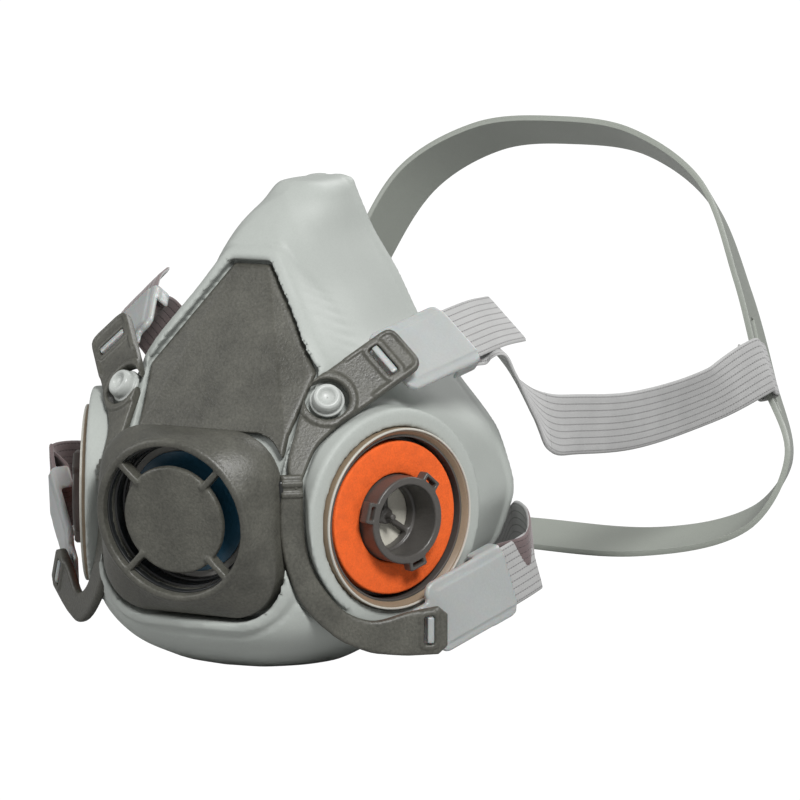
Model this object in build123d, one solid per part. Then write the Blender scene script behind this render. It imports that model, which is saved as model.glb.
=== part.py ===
from build123d import *
import os
from math import cos, sin, radians

# A reusable half-face respirator: a soft facepiece with two bayonet inlets, a central
# exhalation valve under a hard cover, a moulded yoke, four strap clips, elastic straps,
# a head cradle and a neck clasp. +X is the wearer's left, +Y points behind the mask, +Z up.

# ---------------------------------------------------------------- driving dimensions, mm
SIDE_WALL = 3.2            # facepiece wall at the cheeks
FRONT_WALL = 8.0           # facepiece wall behind the cover
CAVITY_OVERRUN = 16.0      # how far the cavity tool runs out behind the rear edge

PORT_X, PORT_Y, PORT_Z = 47.4, -17.2, 42.0     # centre of the right inlet's front plane
PORT_YAW = 64.5            # degrees between the inlet axis and straight ahead
PORT_FLANGE_R = 29.0       # soft flange round each inlet
PORT_RING_R = 24.0         # hard ring set into the flange
PORT_RING_BORE_R = 21.6
PORT_RING_STAND = 1.8      # ring stands this far out of the flange
PORT_DEPTH = 10.0          # ring's depth behind its front plane
RING_SEAT_R = 18.5         # bore of the ring's back lip
GASKET_R = 20.3
GASKET_THICK = 4.4
TUBE_R = 11.5              # bayonet tube, outside
TUBE_BORE_R = 9.4
SPIDER_DEPTH = 2.6         # the tube narrows to its valve spider over this depth
SPIDER_BORE_R = 8.6
TUBE_STAND = 3.0           # tube stands this far out of the ring
LUG_R = 13.5
LUG_ANGLES = (50, 165, 287)
INLET_VALVE_R = 11.2
VALVE_TRAVEL = 1.5         # how far each valve flap lifts from its seat

EXHALE_Y, EXHALE_Z = -55.0, 44.0               # centre of the exhalation opening
EXHALE_TILT = 8.0          # degrees that the opening looks down
EXHALE_RIM_R = 22.0
EXHALE_BORE_R = 20.0
GUARD_R = 14.4
SPOKE_WIDTH = 1.7
EXHALE_VALVE_R = 16.3
EXHALE_PORT_R = 16.0
SEAT_PLANE = -12.0         # back of the valve seat, along the exhalation axis
RECESS_PLANE = -14.0       # face of the facepiece behind the seat
BACKING = 3.0              # facepiece wall behind the cowl
BACKING_MARGIN = 3.0       # how far that wall runs past the cowl's outline

COWL_WIDTH = 51.0
COWL_LOW, COWL_HIGH = 18.0, 67.0
COWL_FRONT_Y, COWL_BACK_Y = -46.0, -28.0
COWL_CORNER = 13.0
COWL_WALL = 2.4
COVER_THICK = 2.5
COVER_GAP = 1.1            # dark gap between the cover and the facepiece border

PLATE = 2.5                # thickness of the yoke's arms
PEG_AT = (30.4, -26.2, 73.8)
HINGE_AT = (28.3, -42.0, 53.9)                 # centre of the flexing ribs
ARM_ALONG = (0.548, 0.662, 0.511)              # peg towards the upper arm's tip
ARM_OUT = (0.398, -0.744, 0.537)               # outward normal of the upper arm
BAND_YAW = 39.3            # degrees from +X to the lower arm's direction
UPPER_SLOT = (18.6, 3.2, 9.4)                  # distance from the peg, width, length
LOWER_SLOT = (36.4, 2.8, 7.6)
LOWER_SLOT_Z = 13.5
TIP_BEND = (22.0, 12.0)    # point that the lower arm's tip flexes about
TIP_LIFT = {1: 0.0, -1: 26.0}                  # degrees that the strap flexes each tip up
PEG_HEAD_R = 4.3
PEG_HOLE_R = 5.8

CLIP_WIDTH = 20.0
CLIP_LENGTH = 32.0
CLIP_ROLL = {"lower_right": 6.0, "lower_left": -12.0}   # degrees that a clip rolls about its length
STRAP_WIDTH = 17.0
STRAP_THICK = 1.3

CRADLE_LEAN = 14.0         # degrees that the head cradle leans back
CRADLE_AT = (0.0, 176.0, 63.0)                 # a point in the plane of its front rim
CRADLE_BAND = 20.0
CRADLE_THICK = 1.8
CRADLE_SLOT = (3.0, 7.4, 31.0)                 # start and end from the rim, length
SLOT_RISE = 2.6            # the slot runs this much further above the strap than below

# Facepiece outline, right half, front centre first: height, then (x, y) points.
FACE_LEVELS = [
    (0.0, [(0, -24), (10, -22), (18, -16), (22, -8), (18, 6)]),
    (6.0, [(0, -41), (17, -38), (29, -24), (36, -8), (30, 16)]),
    (14.0, [(0, -47), (22, -44), (37, -27), (46, -4), (39, 26)]),
    (28.0, [(0, -47), (26, -45), (42, -26), (54, 2), (52, 35)]),
    (42.0, [(0, -45), (27, -43), (43, -24), (56, 8), (54, 42)]),
    (58.0, [(0, -39), (24, -37.5), (41, -20), (51, 8), (47, 45)]),
    (72.0, [(0, -31), (20, -29.5), (33, -18), (40, 4), (34, 46)]),
    (86.0, [(0, -22), (19.5, -21), (25.5, -16), (27, 6), (23, 46)]),
    (100.0, [(0, -14), (10.5, -13.6), (14.8, -11), (18, 8), (17, 44)]),
    (112.0, [(0, -8.4), (7.6, -7.6), (11.2, -1), (12.5, 14), (10.5, 41)]),
    (119.0, [(0, -0.5), (6.2, 0.4), (9.3, 7), (10.5, 19), (8.5, 39)]),
    (124.5, [(0, 13), (4.5, 13.6), (7.2, 18), (8, 27), (6, 38)]),
]
CAVITY_FLOOR, CAVITY_ROOF = 4.5, 118.0

# Front cover facets: height, front edge (x, y), side edge (x, y).
COVER_LEVELS = [
    (106.1, (4.8, -10.3), (5.4, -10.1)),
    (79.5, (15.4, -24.8), (24.5, -22.0)),
    (64.3, (21.5, -33.7), (22.2, -33.4)),
    (58.0, (21.5, -37.0), (22.2, -36.7)),
]

# Head cradle front rim, right half from the top down: (x, z).
RIM_HALF = [(0, 132), (27, 129), (52, 114), (67, 85), (77.5, 58), (89, 34), (78, 11), (44, 0.6), (0, 0)]
SLOT_INDEX = 4             # rim point at the middle of a strap slot
RIM_INSET = [4.0, 4.0, 4.5, 3.0, 2.5, 6.0, 9.0, 9.0, 9.0]

# Neck clasp, standing behind the mask.
CLASP_Y, CLASP_Z = 72.0, 10.4
CLASP_HEIGHT = 20.6
CLASP_BAR_R = 1.6
TAILS = {                  # two points of each strap's free end, clip frame: along, outwards
    "upper_right": [(54.0, -8.0), (44.0, -5.2)],
    "upper_left": [(54.0, -7.0), (44.0, -4.8)],
    "lower_right": [(43.0, -5.2), (38.0, -4.6)],
    "lower_left": [(43.0, -5.2), (38.0, -4.6)],
}

UP = Vector(0, 0, 1)
UPRIGHT = (0, 0, 1)


# ---------------------------------------------------------------- helpers
def mirrored(shape):
    return shape.mirror(Plane.YZ)


def rod(plane, radius, low, high):
    """Solid cylinder on a plane's normal between two depths."""
    return plane * Pos(0, 0, low) * Cylinder(radius, high - low, align=(Align.CENTER, Align.CENTER, Align.MIN))


def tube(plane, outer, inner, low, high):
    return rod(plane, outer, low, high) - rod(plane, inner, low - 1, high + 1)


def block(plane, x_span, y_span, z_span):
    """Box on a plane from three (low, high) spans."""
    size = [span[1] - span[0] for span in (x_span, y_span, z_span)]
    middle = [(span[1] + span[0]) / 2 for span in (x_span, y_span, z_span)]
    return plane * Pos(*middle) * Box(*size)


def port_plane(side):
    yaw = radians(PORT_YAW)
    axis = Vector(side * sin(yaw), -cos(yaw), 0)
    return Plane(origin=(side * PORT_X, PORT_Y, PORT_Z), x_dir=UP.cross(axis), z_dir=axis)


def exhale_plane():
    tilt = radians(EXHALE_TILT)
    return Plane(origin=(0, EXHALE_Y, EXHALE_Z), x_dir=(1, 0, 0), z_dir=(0, -cos(tilt), -sin(tilt)))


def upper_arm_plane():
    return Plane(origin=PEG_AT, x_dir=ARM_ALONG, z_dir=ARM_OUT)


def lower_arm_plane():
    yaw = radians(BAND_YAW)
    along = Vector(cos(yaw), sin(yaw), 0)
    return Plane(origin=(HINGE_AT[0], HINGE_AT[1], 0), x_dir=along, z_dir=along.cross(UP))


def d_outline(z, half):
    """Closed outline at one height, symmetric about the mid plane, flat at the back."""
    right = [(x, y, z) for x, y in half]
    left = [(-x, y, z) for x, y in reversed(half[1:])]
    curve = Spline(*left, *right)
    return Face(Wire([curve, Line(curve @ 1, curve @ 0)]))


def inset(half):
    """The same half outline moved inwards by the wall, and run out past the rear edge."""
    front_x, front_y = half[0]
    rear_x, rear_y = half[-1]
    points = [(front_x, front_y + FRONT_WALL)]
    for (x0, y0), (x, y), (x1, y1) in zip(half, half[1:], half[2:]):
        run = Vector(x1 - x0, y1 - y0, 0).normalized()
        wall = SIDE_WALL if y > half[0][1] + FRONT_WALL else (SIDE_WALL + FRONT_WALL) / 2
        points.append((max(x - run.Y * wall, 0.4 * x), y + run.X * wall))
    points.append((rear_x - SIDE_WALL, rear_y))
    points.append((rear_x - SIDE_WALL, rear_y + CAVITY_OVERRUN))
    return points


def ribbon(stations):
    """Flat webbing through (centre, width direction) stations."""
    centres = [Vector(*centre) for centre, _ in stations]
    last = len(stations) - 1
    outlines = []
    for i, (_, across) in enumerate(stations):
        along = (centres[min(i + 1, last)] - centres[max(i - 1, 0)]).normalized()
        across = Vector(*across)
        side = (across - along * across.dot(along)).normalized() * (STRAP_WIDTH / 2)
        face = along.cross(side).normalized() * (STRAP_THICK / 2)
        c = centres[i]
        outlines.append(Wire.make_polygon([c + side + face, c - side + face, c - side - face, c + side - face]))
    return Solid.make_loft(outlines, ruled=True)


# ---------------------------------------------------------------- yoke
def upper_arm(grow=0.0, rise=0.0):
    """Plate from the ribs past the peg to the slotted tip."""
    edge = [(-23, -16.2), (-10.4, -8.4), (-2.4, -7.4), (26.4, -7.4), (26.4, 6.6), (-1.3, 6.6), (-20.5, -8.6)]
    outline = Polyline(*edge, close=True)
    face = make_face(outline)
    face = fillet(face.vertices().group_by(Axis.X)[-1], 4.5)
    if grow:
        face = offset(face, grow)
    return upper_arm_plane() * Pos(0, 0, -PLATE - grow) * extrude(face, PLATE + grow + rise)


def lifted(points, lift):
    """Points of the lower arm's tip, turned up about the arm's lowest bend."""
    turn, (x0, z0) = radians(lift), TIP_BEND
    moved = []
    for x, z in points:
        across, up = x - x0, z - z0
        moved.append((x0 + across * cos(turn) - up * sin(turn), z0 + across * sin(turn) + up * cos(turn)))
    return moved


def lower_arm(lift):
    """Band that drops from the ribs and curves forward under the inlet to its slotted tip."""
    low_start, low_end, *tip_edge, high_start = lifted(
        [(26, 7.3), (31, 6.8), (39, 6.8), (41.5, 9), (41.5, 17.5), (39, 19.6), (31, 18.4)], lift
    )
    outer = Spline((-3.0, 56), (-3.0, 39), (1.5, 23.5), (11, 13), (20, 8.4), low_start, low_end)
    inner = Spline(high_start, (21, 16.6), (12, 21.2), (4.2, 35), (2.8, 56))
    tip = Polyline(low_end, *tip_edge, high_start)
    band = make_face([outer, tip, inner, Line((2.8, 56), (-3.0, 56))])
    return lower_arm_plane() * Pos(0, 0, -PLATE) * extrude(band, PLATE)


def lower_arm_room():
    """Straight-sided space round the lower arm, open to the front."""
    outer = [(-3.5, 57), (-3.5, 38), (1, 22.5), (6, 16.5), (11, 12.4), (17, 9), (22, 7.3), (43, 5.5)]
    inner = [(43, 20.5), (31, 19), (22, 17.2), (12, 21.9), (7, 28.6), (4.8, 36), (3.4, 57)]
    band = make_face(Polyline(*outer, *inner, close=True))
    return lower_arm_plane() * Pos(0, 0, -PLATE - 0.3) * extrude(band, PLATE + 12)


def lower_slot(side):
    """Middle of the lower arm's slot on one side, in the arm's own plane."""
    return lifted([(LOWER_SLOT[0], LOWER_SLOT_Z)], TIP_LIFT[side])[0]


def yoke():
    """One moulding: a ring behind the cover, and on each side an upper and a lower arm."""
    distance, width, length = UPPER_SLOT
    plane = upper_arm_plane()
    upper = upper_arm()
    upper -= block(plane, (distance - width / 2, distance + width / 2), (-length / 2, length / 2), (-5, 5))
    upper -= rod(plane, PEG_HOLE_R, -5, 5)
    upper += tube(plane, PEG_HOLE_R + 1.0, PEG_HOLE_R, -PLATE, 0.6)
    band_plane = lower_arm_plane()
    ribs = [block(band_plane, (-3.0, 2.8), (z, z + 1.4), (-PLATE, 0.6)) for z in (50.2, 53.0)]
    _, width, length = LOWER_SLOT
    lowers = {}
    for side, lift in TIP_LIFT.items():
        slot = band_plane * Pos(*lower_slot(side), 0) * Rot(0, 0, lift) * Box(width, length, 10)
        lowers[side] = lower_arm(lift) - slot
    right = upper + lowers[1] + ribs
    left = mirrored(upper + lowers[-1] + ribs)
    opening = exhale_plane()
    centre = rod(opening, EXHALE_BORE_R + 0.5, RECESS_PLANE, SEAT_PLANE)
    centre += block(opening, (-26.5, 26.5), (-9, 9), (RECESS_PLANE, SEAT_PLANE))
    centre -= rod(opening, EXHALE_PORT_R + 1.5, RECESS_PLANE - 5, SEAT_PLANE + 5)
    return right + left + centre


# ---------------------------------------------------------------- cover
def facets(gap=0.0, forward=0.0):
    """Faceted front shell; with a gap and a forward reach it is the pocket that holds it."""
    outlines = []
    for z, (front_x, front_y), (side_x, side_y) in COVER_LEVELS:
        high = z + gap if z == COVER_LEVELS[0][0] else z
        right = [(front_x + gap, front_y - forward), (side_x + gap, side_y - forward)]
        back = [(side_x + gap, side_y + COVER_THICK), (front_x + gap, front_y + COVER_THICK)]
        half = right + back
        points = [(x, y, high) for x, y in half] + [(-x, y, high) for x, y in reversed(half)]
        outlines.append(Wire.make_polygon(points))
    return Solid.make_loft(outlines, ruled=True)


def cowl_prism(shrink, front, back):
    low, high = COWL_LOW + shrink, COWL_HIGH - shrink
    width = COWL_WIDTH - 2 * shrink
    plane = Plane(origin=(0, back, (low + high) / 2), x_dir=(1, 0, 0), z_dir=(0, -1, 0))
    return extrude(plane * RectangleRounded(width, high - low, COWL_CORNER - shrink), back - front)


def cover(face_block, yoke_solid):
    """Hard snap-on cover: facets, cowl round the opening, guard disc and its four spokes."""
    opening = exhale_plane()
    base_plane = Plane(origin=(0, COWL_FRONT_Y, (COWL_LOW + COWL_HIGH) / 2), x_dir=(1, 0, 0), z_dir=(0, -1, 0))
    base = base_plane * RectangleRounded(COWL_WIDTH, COWL_HIGH - COWL_LOW, COWL_CORNER)
    nose = loft([base, opening * Circle(EXHALE_RIM_R)])
    shell = facets() + cowl_prism(0, COWL_FRONT_Y, COWL_BACK_Y) + nose
    shell -= cowl_prism(COWL_WALL, COWL_FRONT_Y + 2.4, COWL_BACK_Y + 20)
    shell -= rod(opening, EXHALE_BORE_R, SEAT_PLANE - 3, 3)
    shell -= face_block
    shell -= yoke_solid
    shell = max(shell.solids(), key=lambda solid: solid.volume)
    guard = rod(opening, GUARD_R, -2.6, -0.4)
    for angle in (45, 135, 225, 315):
        guard += opening * Rot(0, 0, angle) * Pos(17.2, 0, -2) * Box(7.4, SPOKE_WIDTH, 3)
    return shell + guard


# ---------------------------------------------------------------- facepiece
def face_body():
    """Outer form of the facepiece with its two inlet flanges, not yet hollow."""
    body = loft([d_outline(z, half) for z, half in FACE_LEVELS], ruled=True)
    for side in (1, -1):
        plane = port_plane(side)
        body -= rod(plane, PORT_FLANGE_R + 2.0, -PORT_RING_STAND, 20)
        body += rod(plane, PORT_FLANGE_R, -PORT_DEPTH - 3, -PORT_RING_STAND)
    return body


def cavity():
    """Space for the wearer's nose and mouth, open at the back."""
    levels = [(z, half) for z, half in FACE_LEVELS if CAVITY_FLOOR < z < CAVITY_ROOF]
    faces = [d_outline(z, inset(half)) for z, half in levels]
    return loft(faces, ruled=True)


def without_front_room(body):
    """Cut the places of the cover, the yoke and the exhalation valve out of a body."""
    recess = cowl_prism(-0.3, COWL_FRONT_Y - 20, COWL_BACK_Y)
    recess &= block(exhale_plane(), (-60, 60), (-60, 60), (RECESS_PLANE, 40))
    for tool in (facets(COVER_GAP, 14.0), recess, upper_arm(0.3, 12), lower_arm_room()):
        body -= tool
    return body - mirrored(upper_arm(0.3, 12)) - mirrored(lower_arm_room())


def facepiece(face_block, pegs):
    middle = (COWL_LOW + COWL_HIGH) / 2 - EXHALE_Z
    reach = (COWL_HIGH - COWL_LOW) / 2 + BACKING_MARGIN
    across = COWL_WIDTH / 2 + BACKING_MARGIN
    backing = block(exhale_plane(), (-across, across), (middle - reach, middle + reach), (RECESS_PLANE - BACKING, 20))
    body = face_block - (cavity() - backing)
    body -= rod(exhale_plane(), EXHALE_PORT_R, RECESS_PLANE - 20, 0)
    for side in (1, -1):
        plane = port_plane(side)
        body += tube(plane, PORT_FLANGE_R, RING_SEAT_R, -PORT_DEPTH - 3, -PORT_DEPTH)
        body -= rod(plane, PORT_RING_R, -PORT_DEPTH, 5)
        body -= rod(plane, RING_SEAT_R, -PORT_DEPTH - 20, 5)
    for peg in pegs:
        body -= peg
    return max(body.solids(), key=lambda solid: solid.volume)


# ---------------------------------------------------------------- inlets
def port_ring(side):
    plane = port_plane(side)
    return tube(plane, PORT_RING_R, PORT_RING_BORE_R, -PORT_DEPTH, 0) + tube(
        plane, PORT_RING_R, RING_SEAT_R, -PORT_DEPTH, -PORT_DEPTH + 1.6
    )


def inlet_connector(side):
    """Bayonet tube with its base flange, three lugs and a three-armed valve spider."""
    plane = port_plane(side)
    base = 1.6 - PORT_DEPTH
    spider_top = base + SPIDER_DEPTH
    body = tube(plane, TUBE_R, SPIDER_BORE_R, base, TUBE_STAND)
    body += tube(plane, PORT_RING_BORE_R - 0.1, SPIDER_BORE_R, base, base + 1.6)
    for angle in LUG_ANGLES:
        lug = Pos(LUG_R - 1.6, 0, TUBE_STAND - 1.6) * Box(3.4, 5.6, 3.2)
        lug -= Pos(LUG_R - 1.2, 0, TUBE_STAND - 1.6) * Box(1.4, 3.4, 6)
        body += plane * Rot(0, 0, angle) * lug
        body += plane * Rot(0, 0, angle + 40) * Pos(TUBE_BORE_R / 2, 0, base + 1.0) * Box(TUBE_BORE_R, 1.4, 2)
    body += rod(plane, 2.2, base, spider_top)
    return body - rod(plane, TUBE_BORE_R, spider_top, TUBE_STAND + 2)


def inlet_gasket(side):
    base = 3.2 - PORT_DEPTH
    return tube(port_plane(side), GASKET_R, TUBE_R + 0.2, base, base + GASKET_THICK)


def inlet_valve(side):
    """Flap that lifts inwards from the connector's base, with its centre button."""
    plane = port_plane(side)
    seat = 1.6 - PORT_DEPTH
    return rod(plane, INLET_VALVE_R, seat - 0.9, seat - 0.1) + rod(plane, 1.8, seat - 2.4, seat - 0.9)


# ---------------------------------------------------------------- exhalation valve
def valve_seat():
    plane = exhale_plane()
    seat = tube(plane, EXHALE_BORE_R - 0.3, EXHALE_VALVE_R - 2.4, SEAT_PLANE, SEAT_PLANE + 2.6)
    seat += tube(plane, 3.4, 1.5, SEAT_PLANE, SEAT_PLANE + 2.4)
    for angle in range(0, 360, 60):
        seat += plane * Rot(0, 0, angle) * Pos(9.0, 0, SEAT_PLANE + 1.2) * Box(11.6, 1.5, 2.4)
    return seat


def exhalation_valve():
    plane = exhale_plane()
    face = SEAT_PLANE + 2.7
    return rod(plane, EXHALE_VALVE_R, face, face + 0.8) + rod(plane, 1.4, SEAT_PLANE - 1.5, face) + rod(
        plane, 2.6, face + 0.8, face + 1.4
    )


def retaining_peg():
    """Stud on the facepiece that the upper arm's eye snaps over."""
    plane = upper_arm_plane()
    peg = rod(plane, 3.0, -9, -1.5) + rod(plane, PEG_HEAD_R, -1.5, 2.6)
    return peg - rod(plane, 1.6, 1.6, 4)


# ---------------------------------------------------------------- strap hardware
def clip_plane(arm, slot_at, far_end, side, roll=0.0):
    """Plane at an arm's slot with x towards the strap and z outwards; far_end is for that side."""
    slot = arm.from_local_coords(Vector(*slot_at, 0))
    origin = Vector(side * slot.X, slot.Y, slot.Z)
    outward = Vector(side * arm.z_dir.X, arm.z_dir.Y, arm.z_dir.Z)
    along = (Vector(*far_end) - origin).normalized()
    lean = along.dot(outward)
    if lean > 0:
        along = (along - outward * lean).normalized()
    out = (outward - along * outward.dot(along)).normalized()
    out = out.rotate(Axis((0, 0, 0), along), roll)
    return Plane(origin=origin - outward * (PLATE / 2), x_dir=along, z_dir=out)


def strap_clip(plane, outward, tab_width):
    """Hooked tab square to its arm, cover plate, and two cheeks that hold the bar under its far end."""
    half = CLIP_WIDTH / 2
    inside = STRAP_WIDTH / 2 + 0.4
    cheeks = CLIP_LENGTH - 9.0
    body = block(plane, (-1.3, CLIP_LENGTH), (-half, half), (-3.5, -2.3))
    body += block(plane, (-1.3, cheeks), (-half + 1.5, half - 1.5), (-4.4, -3.4))
    for low, high in ((-half, -inside), (inside, half)):
        body += block(plane, (cheeks, CLIP_LENGTH), (low, high), (-8.2, -3.4))
    body += block(plane, (CLIP_LENGTH - 4.6, CLIP_LENGTH - 2.2), (-half, half), (-7.0, -5.0))
    body -= block(plane, (-2, 1.5), (-half - 1, half + 1), (-2.9, 0))
    upright = Plane(origin=plane.origin, x_dir=plane.y_dir.cross(outward), z_dir=outward)
    tab = block(upright, (-0.7, 0.7), (-tab_width / 2, tab_width / 2), (-3.2, 3.2))
    lip = block(upright, (-0.7, 1.7), (-tab_width / 2, tab_width / 2), (2.4, 3.2))
    return body + tab + lip


def clip_loop(plane, side, tail):
    """Stations of the webbing round a clip's bar, tail first."""
    across = tuple(plane.y_dir * side)
    end = CLIP_LENGTH
    turn = [(end - 1, -4.25), (end - 5, -4.25), (end - 6.3, -6.0), (end - 5, -7.75), (end + 1, -7.8)]
    return [(tuple(plane.from_local_coords(Vector(x, 0, z))), across) for x, z in tail + turn]


# ---------------------------------------------------------------- head cradle
def cradle_plane():
    lean = radians(CRADLE_LEAN)
    return Plane(origin=CRADLE_AT, x_dir=(-1, 0, 0), z_dir=(0, cos(lean), -sin(lean)))


def cradle_rim(inward, depth):
    """Closed rim outline, moved inwards by a list of distances, at a depth along the cone."""
    plane = cradle_plane()
    scale = 1 / cos(radians(CRADLE_LEAN))
    points = []
    for i, (x, z) in enumerate(RIM_HALF):
        before = RIM_HALF[max(i - 1, 0)]
        after = RIM_HALF[min(i + 1, len(RIM_HALF) - 1)]
        run_x, run_z = after[0] - before[0], after[1] - before[1]
        length = (run_x ** 2 + run_z ** 2) ** 0.5
        points.append((x + run_z / length * inward[i], (z - CRADLE_AT[2]) * scale - run_x / length * inward[i]))
    points[0] = (0, points[0][1])
    points[-1] = (0, points[-1][1])
    loop = points + [(-x, v) for x, v in reversed(points[1:-1])]
    return plane * Pos(0, 0, depth) * make_face(Spline(*[(-x, v) for x, v in loop], periodic=True))


def slot_plane(side):
    """Plane on the cradle's rim at a strap slot: x along the band's depth, y along the rim."""
    (x0, z0), (x, z), (x1, z1) = RIM_HALF[SLOT_INDEX + 1], RIM_HALF[SLOT_INDEX], RIM_HALF[SLOT_INDEX - 1]
    lean = radians(CRADLE_LEAN)
    slope = sin(lean) / cos(lean)
    rim = Vector(side * (x1 - x0), (z1 - z0) * slope, z1 - z0).normalized()
    inset_rate = RIM_INSET[SLOT_INDEX] / CRADLE_BAND
    deep = Vector(-side * inset_rate, cos(lean), -sin(lean)).normalized()
    middle = (side * (x - CRADLE_THICK / 2), CRADLE_AT[1] + (z - CRADLE_AT[2]) * slope, z)
    return Plane(origin=middle, x_dir=deep, z_dir=deep.cross(rim) * side)


def head_cradle():
    thick = [CRADLE_THICK] * len(RIM_HALF)
    far = RIM_INSET
    far_inner = [step + CRADLE_THICK for step in RIM_INSET]
    outer = loft([cradle_rim([0] * len(RIM_HALF), 0), cradle_rim(far, CRADLE_BAND)], ruled=True)
    inner = loft([cradle_rim(thick, 0), cradle_rim(far_inner, CRADLE_BAND)], ruled=True)
    band = outer - inner
    start, end, length = CRADLE_SLOT
    for side in (1, -1):
        rise = SLOT_RISE * side * slot_plane(side).y_dir.Z
        band -= block(slot_plane(side), (start, end), (rise - length / 2, rise + length / 2), (-6, 6))
    return band


def cradle_loop(side):
    """Stations of the webbing round the cradle's slot bar, ending in a sewn fold."""
    plane = slot_plane(side)
    across = tuple(plane.y_dir * side)
    path = [(-9, 2.9), (-1.5, 2.9), (3.4, 2.7), (5.2, 0.0), (3.4, -2.7), (-1.5, -2.9), (-9, -2.2)]
    return [(tuple(plane.from_local_coords(Vector(x, 0, z))), across) for x, z in path]


# ---------------------------------------------------------------- neck clasp
def clasp_body(outward):
    """Upright plate with a window for its strap; outward is +1 or -1 along X from the hook."""
    plane = Plane(origin=(0, CLASP_Y, CLASP_Z), x_dir=(outward, 0, 0), z_dir=(0, -1, 0))
    half = CLASP_HEIGHT / 2
    window = STRAP_WIDTH / 2 + 0.4
    body = block(plane, (5.0, 20.0), (-half, half), (-1.5, 1.5))
    body -= block(plane, (12.0, 17.0), (-window, window), (-3, 3))
    return plane, body


def neck_loop():
    """Clasp half with the upright bar that the hook grips."""
    plane, body = clasp_body(1)
    half = CLASP_HEIGHT / 2
    for low, high in ((-half, -half + 2.5), (half - 2.5, half)):
        body += block(plane, (-2.0, 6.0), (low, high), (-1.5, 1.5))
    bar = Plane(origin=(0, CLASP_Y, CLASP_Z), x_dir=(1, 0, 0), z_dir=UPRIGHT)
    return body + rod(bar, CLASP_BAR_R, -half + 1, half - 1)


def neck_hook():
    """Clasp half whose hook swings on the other half's bar."""
    plane, body = clasp_body(-1)
    reach = CLASP_HEIGHT / 2 - 3.2
    bar = Plane(origin=(0, CLASP_Y, CLASP_Z), x_dir=(1, 0, 0), z_dir=UPRIGHT)
    hook = tube(bar, CLASP_BAR_R + 2.2, CLASP_BAR_R + 0.3, -reach, reach)
    hook -= block(bar, (-1.6, 8), (0, 8), (-reach - 1, reach + 1))
    return body + hook + block(plane, (CLASP_BAR_R + 0.9, 6.0), (-reach, reach), (-1.5, 1.5))


def clasp_strap(outward):
    """Stations of the webbing round a clasp half's end bar, from the strap to the sewn fold."""
    path = [(30, -2.8), (20.5, -2.9), (17.0, -2.7), (14.6, 0.0), (17.0, 2.7), (20.5, 2.9), (30, 2.0)]
    return [((outward * x, CLASP_Y - y, CLASP_Z), UPRIGHT) for x, y in path]


# ---------------------------------------------------------------- assembly
CLIP_ENDS = {
    "upper_right": (50.4, 15.8, 90.1),
    "upper_left": (-53.7, 14.2, 91.4),
    "lower_right": (69.6, 8.6, 23.0),
    "lower_left": (-74.5, 0.8, 37.6),
}

# Free stretches of the four straps, clip end first: (point, width direction).
ROUTES = {
    "upper_right": [
        ((51.5, 28, 84), (-0.74, 0.05, 0.67)),
        ((56, 33, 76), (-0.62, 0.72, 0.25)),
        ((59, 39, 66.5), (-0.55, 0.7, 0.45)),
        ((60, 50, 59), (-0.25, 0.35, 0.9)),
        ((60, 70, 55.5), UPRIGHT),
        ((63, 110, 51.5), UPRIGHT),
        ((71, 148, 54), UPRIGHT),
    ],
    "upper_left": [
        ((-50, 26, 84), (0.7, 0.1, 0.7)),
        ((-49, 36, 76), (0.55, -0.1, 0.83)),
        ((-53, 62, 63), (0.2, 0, 1)),
        ((-59, 100, 53), UPRIGHT),
        ((-70, 148, 54), UPRIGHT),
    ],
    "lower_right": [
        ((68, 19, 26), (0, -0.33, 0.94)),
        ((64, 29, 30), (0, -0.2, 0.97)),
        ((54, 42, 29), UPRIGHT),
        ((42, 60, 17), UPRIGHT),
    ],
    "lower_left": [
        ((-73, 14, 41), (-0.3, -0.3, 0.9)),
        ((-66, 29, 38), (0, -0.2, 1)),
        ((-55, 48, 27), UPRIGHT),
        ((-42, 61, 15), UPRIGHT),
    ],
}


def straps_and_clips():
    arms = {"upper": upper_arm_plane(), "lower": lower_arm_plane()}
    tabs = {"upper": 5.0, "lower": 2.4}
    nodes = {}
    for place, far_end in CLIP_ENDS.items():
        level, word = place.split("_")
        side = 1 if word == "right" else -1
        slot_at = (UPPER_SLOT[0], 0) if level == "upper" else lower_slot(side)
        plane = clip_plane(arms[level], slot_at, far_end, side, CLIP_ROLL.get(place, 0.0))
        outward = Vector(side * arms[level].z_dir.X, arms[level].z_dir.Y, arms[level].z_dir.Z)
        nodes[f"clip_{place}"] = strap_clip(plane, outward, tabs[level])
        finish = cradle_loop(side) if level == "upper" else clasp_strap(side)
        nodes[f"strap_{place}"] = ribbon(clip_loop(plane, side, TAILS[place]) + ROUTES[place] + finish)
    return nodes


def build():
    face_block = without_front_room(face_body())
    yoke_solid = yoke()
    peg = retaining_peg()
    nodes = {
        "facepiece": facepiece(face_block, (peg, mirrored(peg))),
        "harness_yoke": yoke_solid,
        "front_cover": cover(face_block, yoke_solid),
        "exhalation_valve_seat": valve_seat(),
        "exhalation_valve": exhalation_valve(),
        "head_cradle": head_cradle(),
        "neck_loop": neck_loop(),
        "neck_hook": neck_hook(),
    }
    for side, word in ((1, "right"), (-1, "left")):
        nodes[f"port_ring_{word}"] = port_ring(side)
        nodes[f"inlet_connector_{word}"] = inlet_connector(side)
        nodes[f"inlet_gasket_{word}"] = inlet_gasket(side)
        nodes[f"inhalation_valve_{word}"] = inlet_valve(side)
        nodes[f"retaining_peg_{word}"] = peg if side == 1 else mirrored(peg)
    nodes.update(straps_and_clips())
    return nodes


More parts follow.
